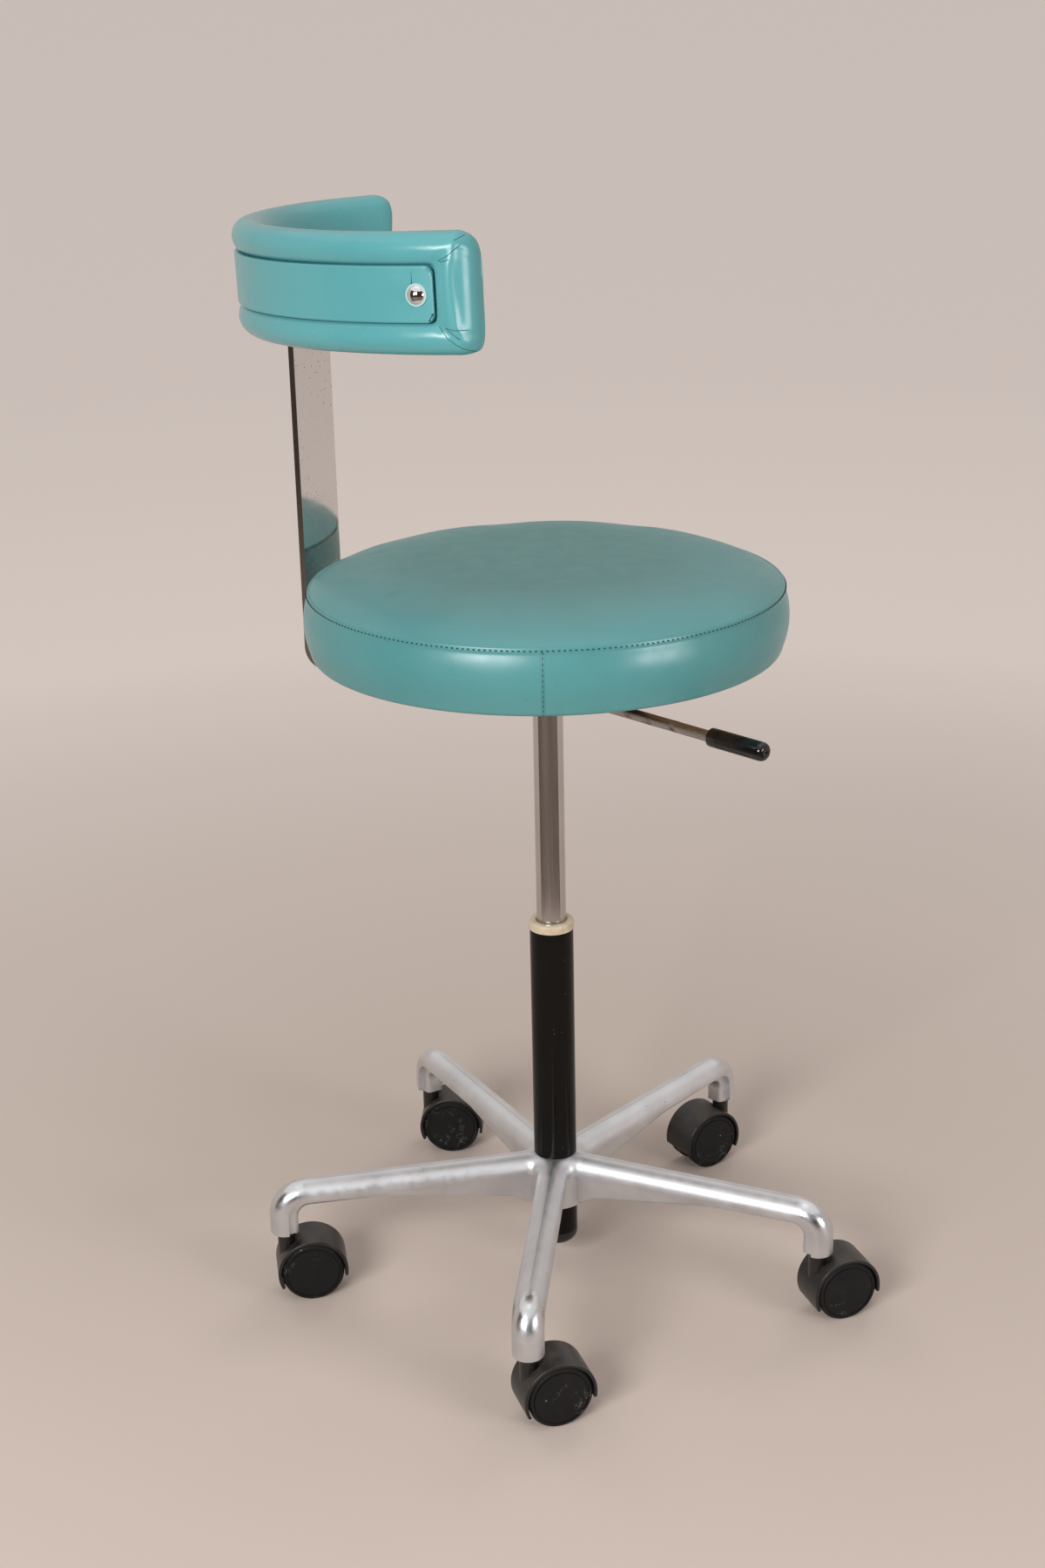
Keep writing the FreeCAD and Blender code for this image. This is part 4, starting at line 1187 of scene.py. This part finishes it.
pick_faces(back_pad, lambda co: in_pocket(co, 0, 0))
bpy.ops.mesh.extrude_region_move(TRANSFORM_OT_translate={"value": (0, 0, 0)})
depth = pocket_floor_r / pocket_rim_r
bpy.ops.transform.resize(value=(depth, depth, 1), center_override=(0, 0, pad_mid.z))
bpy.ops.object.mode_set(mode="OBJECT")
inflate(back_pad, lambda co: in_pocket(co, 0.05, 0.1), pad_pressure, pad_cap)
finish_shape(back_pad, 1, 60)

# %% [markdown]
# The pad leans back a little on its strap, as the frame's pieces do, so it was shaped upright and is
# leaned only now. The strap and the carrier go up inside it. A Boolean cuts their room, so that no
# foam runs through the steel.

# %% Lean the pad, and cut the strap's slot
strap_room = ((-25.6, 206.4, 780), (25.6, 212.6, 851.4))
carrier_room = ((-25.6, 203.4, 818.4), (25.6, 213.9, 851.4))
lean_back = Matrix.Translation(pad_mid) @ Matrix.Rotation(pad_lean, 4, "X") @ Matrix.Translation(-pad_mid)


def hollow(piece, low, high):
    """Cut a box-shaped hollow, given by two corners in millimetres."""
    bpy.ops.object.select_all(action="DESELECT")
    low = Vector(low) * mm
    high = Vector(high) * mm
    bpy.ops.mesh.primitive_cube_add(size=1, location=(low + high) / 2, scale=high - low)
    cutter = bpy.context.object
    modify(piece, "BOOLEAN", operation="DIFFERENCE", object=cutter)
    bpy.data.objects.remove(cutter)


only(back_pad)
back_pad.matrix_world = lean_back
bpy.ops.object.transform_apply(location=True, rotation=True, scale=True)
hollow(back_pad, *strap_room)
hollow(back_pad, *carrier_room)
finish_shape(back_pad, 0, 60)
dress(back_pad, "backrest", "teal_vinyl", back_vinyl, "back_cushion")

# %% [markdown]
# The band. A thin panel is covered with the same vinyl, so its edges are rounded by the sheet that
# goes round them. A copy of the frame's panel, with its points merged, takes a small bevel on its
# face, and weighted normals keep that face smooth right up to the rounding.

# %% Covered band
cover_round = 1.5 * mm
face_depth = 1.8 * mm


def copy_of(node, name):
    """A free copy of a frame piece, its loose triangles merged into whole faces."""
    piece = nodes[node].copy()
    piece.data = nodes[node].data.copy()
    piece.name = name
    bpy.context.scene.collection.objects.link(piece)
    only(piece)
    bpy.ops.object.parent_clear(type="CLEAR_KEEP_TRANSFORM")
    bpy.ops.object.mode_set(mode="EDIT")
    bpy.ops.mesh.select_all(action="SELECT")
    bpy.ops.mesh.remove_doubles(threshold=0.005 * mm)
    bpy.ops.mesh.dissolve_limited(angle_limit=math.radians(0.6))
    return piece


band_panel = copy_of("back_band", "band_panel")
bpy.ops.mesh.select_mode(type="EDGE")
bpy.ops.mesh.select_all(action="DESELECT")
bpy.ops.mesh.edges_select_sharp(sharpness=math.radians(55))
mesh = bmesh.from_edit_mesh(band_panel.data)
outer_r = max(vert.co.xy.length for vert in mesh.verts)
for edge in mesh.edges:
    on_face = all(vert.co.xy.length > outer_r - face_depth for vert in edge.verts)
    edge.select = edge.select and on_face
bmesh.update_edit_mesh(band_panel.data)
bpy.ops.mesh.bevel(offset=cover_round, segments=3, affect="EDGES")
bpy.ops.object.mode_set(mode="OBJECT")
finish_shape(band_panel, 0, 40)
modify(band_panel, "WEIGHTED_NORMAL", keep_sharp=True)
dress(band_panel, "backrest", "teal_vinyl", back_vinyl, "back_band")

# %% [markdown]
# Creases. Where the end roll meets the long rolls, the cover is folded like the corner of a
# parcel, and the folds show as fine dark lines that run from the band's corner to the tip. They are
# thin tubes of shadow colour, sunk for most of their thickness in the skin where a ray finds it.

# %% Creases at the corners of the pad
upper_creases = [
    [(4, 2), (11, 5.5), (19, 12)],
    [(15, 14.5), (22, 18)],
    [(6, 1.5), (12, 3)],
]
lower_creases = [
    [(2, -1.5), (8, -9), (17, -16), (26, -20)],
    [(7, -2.5), (16, -10)],
    [(7, -2.5), (13, -4), (21, -4.5)],
]
clear_of_pad = 260 * mm
crease_thick = 0.3
crease_sunk = 0.12
crease_step = 1.5


def between(points):
    """Points at short steps along a chain of (x, y) points."""
    run = []
    for (x0, y0), (x1, y1) in zip(points, points[1:]):
        count = max(1, round(math.hypot(x1 - x0, y1 - y0) / crease_step))
        run += [(x0 + (x1 - x0) * k / count, y0 + (y1 - y0) * k / count) for k in range(count)]
    return run + [points[-1]]


def crease(points, corner_z, end_deg, sense):
    """One crease, given in millimetres from a corner of the band towards the tip and up."""
    spots = []
    for x, y in between(points):
        out = heading(end_deg + sense * math.degrees(x / crest_r))
        height = Vector((0, 0, pad_mid.z + (corner_z + y) * mm))
        start = lean_back @ (out * clear_of_pad + height)
        aim = lean_back.to_3x3() @ -out
        spot = on_skin(back_pad, start, aim)
        if spot:
            spots.append(spot + aim * (crease_sunk * mm))
    return thin_tube("crease", spots, crease_thick)


bpy.context.view_layer.update()
lines = []
for end_deg, sense in ((last, 1), (first, -1)):
    lines += [crease(points, pocket_half, end_deg, sense) for points in upper_creases]
    lines += [crease(points, -pocket_half, end_deg, sense) for points in lower_creases]
pad_creases = joined("pad_creases", lines)
dress(pad_creases, "backrest", "teal_vinyl", fold_shadow)

# %% [markdown]
# The grip on the lever is a shiny plastic sleeve, moulded and pushed on the rod: cut square where
# the rod goes in, full to its end, with a round shoulder and a small vent hole. A half outline is
# spun about its own axis, as on a lathe, and the sleeve is then laid along the rod.

# %% Grip of the lever
lever_deg = -106.8
rod_r = 4.31
grip_r = 7.15
vent_r = 1.0
grip_steps = 32
bore = [(0, 211.3), (rod_r, 211.3), (rod_r, 171.2)]
mouth = [(6.5, 171.0), (7.0, 171.3), (grip_r, 172.0)]
barrel = [(grip_r, 180), (grip_r, 200), (grip_r, 217.5)]
shoulder = [(6.95, 219.6), (6.3, 221.3), (5.2, 222.4), (3.8, 222.9), (1.4, 223.1)]
vent = [(vent_r, 222.8), (vent_r, 220.6), (0, 220.6)]

low, high = [Vector(corner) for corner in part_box("lever_grip")]
grip_sleeve = turned("grip_sleeve", bore + mouth + barrel + shoulder + vent, grip_steps)
only(grip_sleeve)
lay = Vector((0, 0, 1)).rotation_difference(heading(lever_deg)).to_matrix().to_4x4()
grip_sleeve.matrix_world = Matrix.Translation((0, 0, (low.z + high.z) / 2)) @ lay
bpy.ops.object.transform_apply(location=True, rotation=True, scale=True)
finish_shape(grip_sleeve, 0, 50)
dress(grip_sleeve, "lever", "gloss_black", grip_black, "lever_grip")
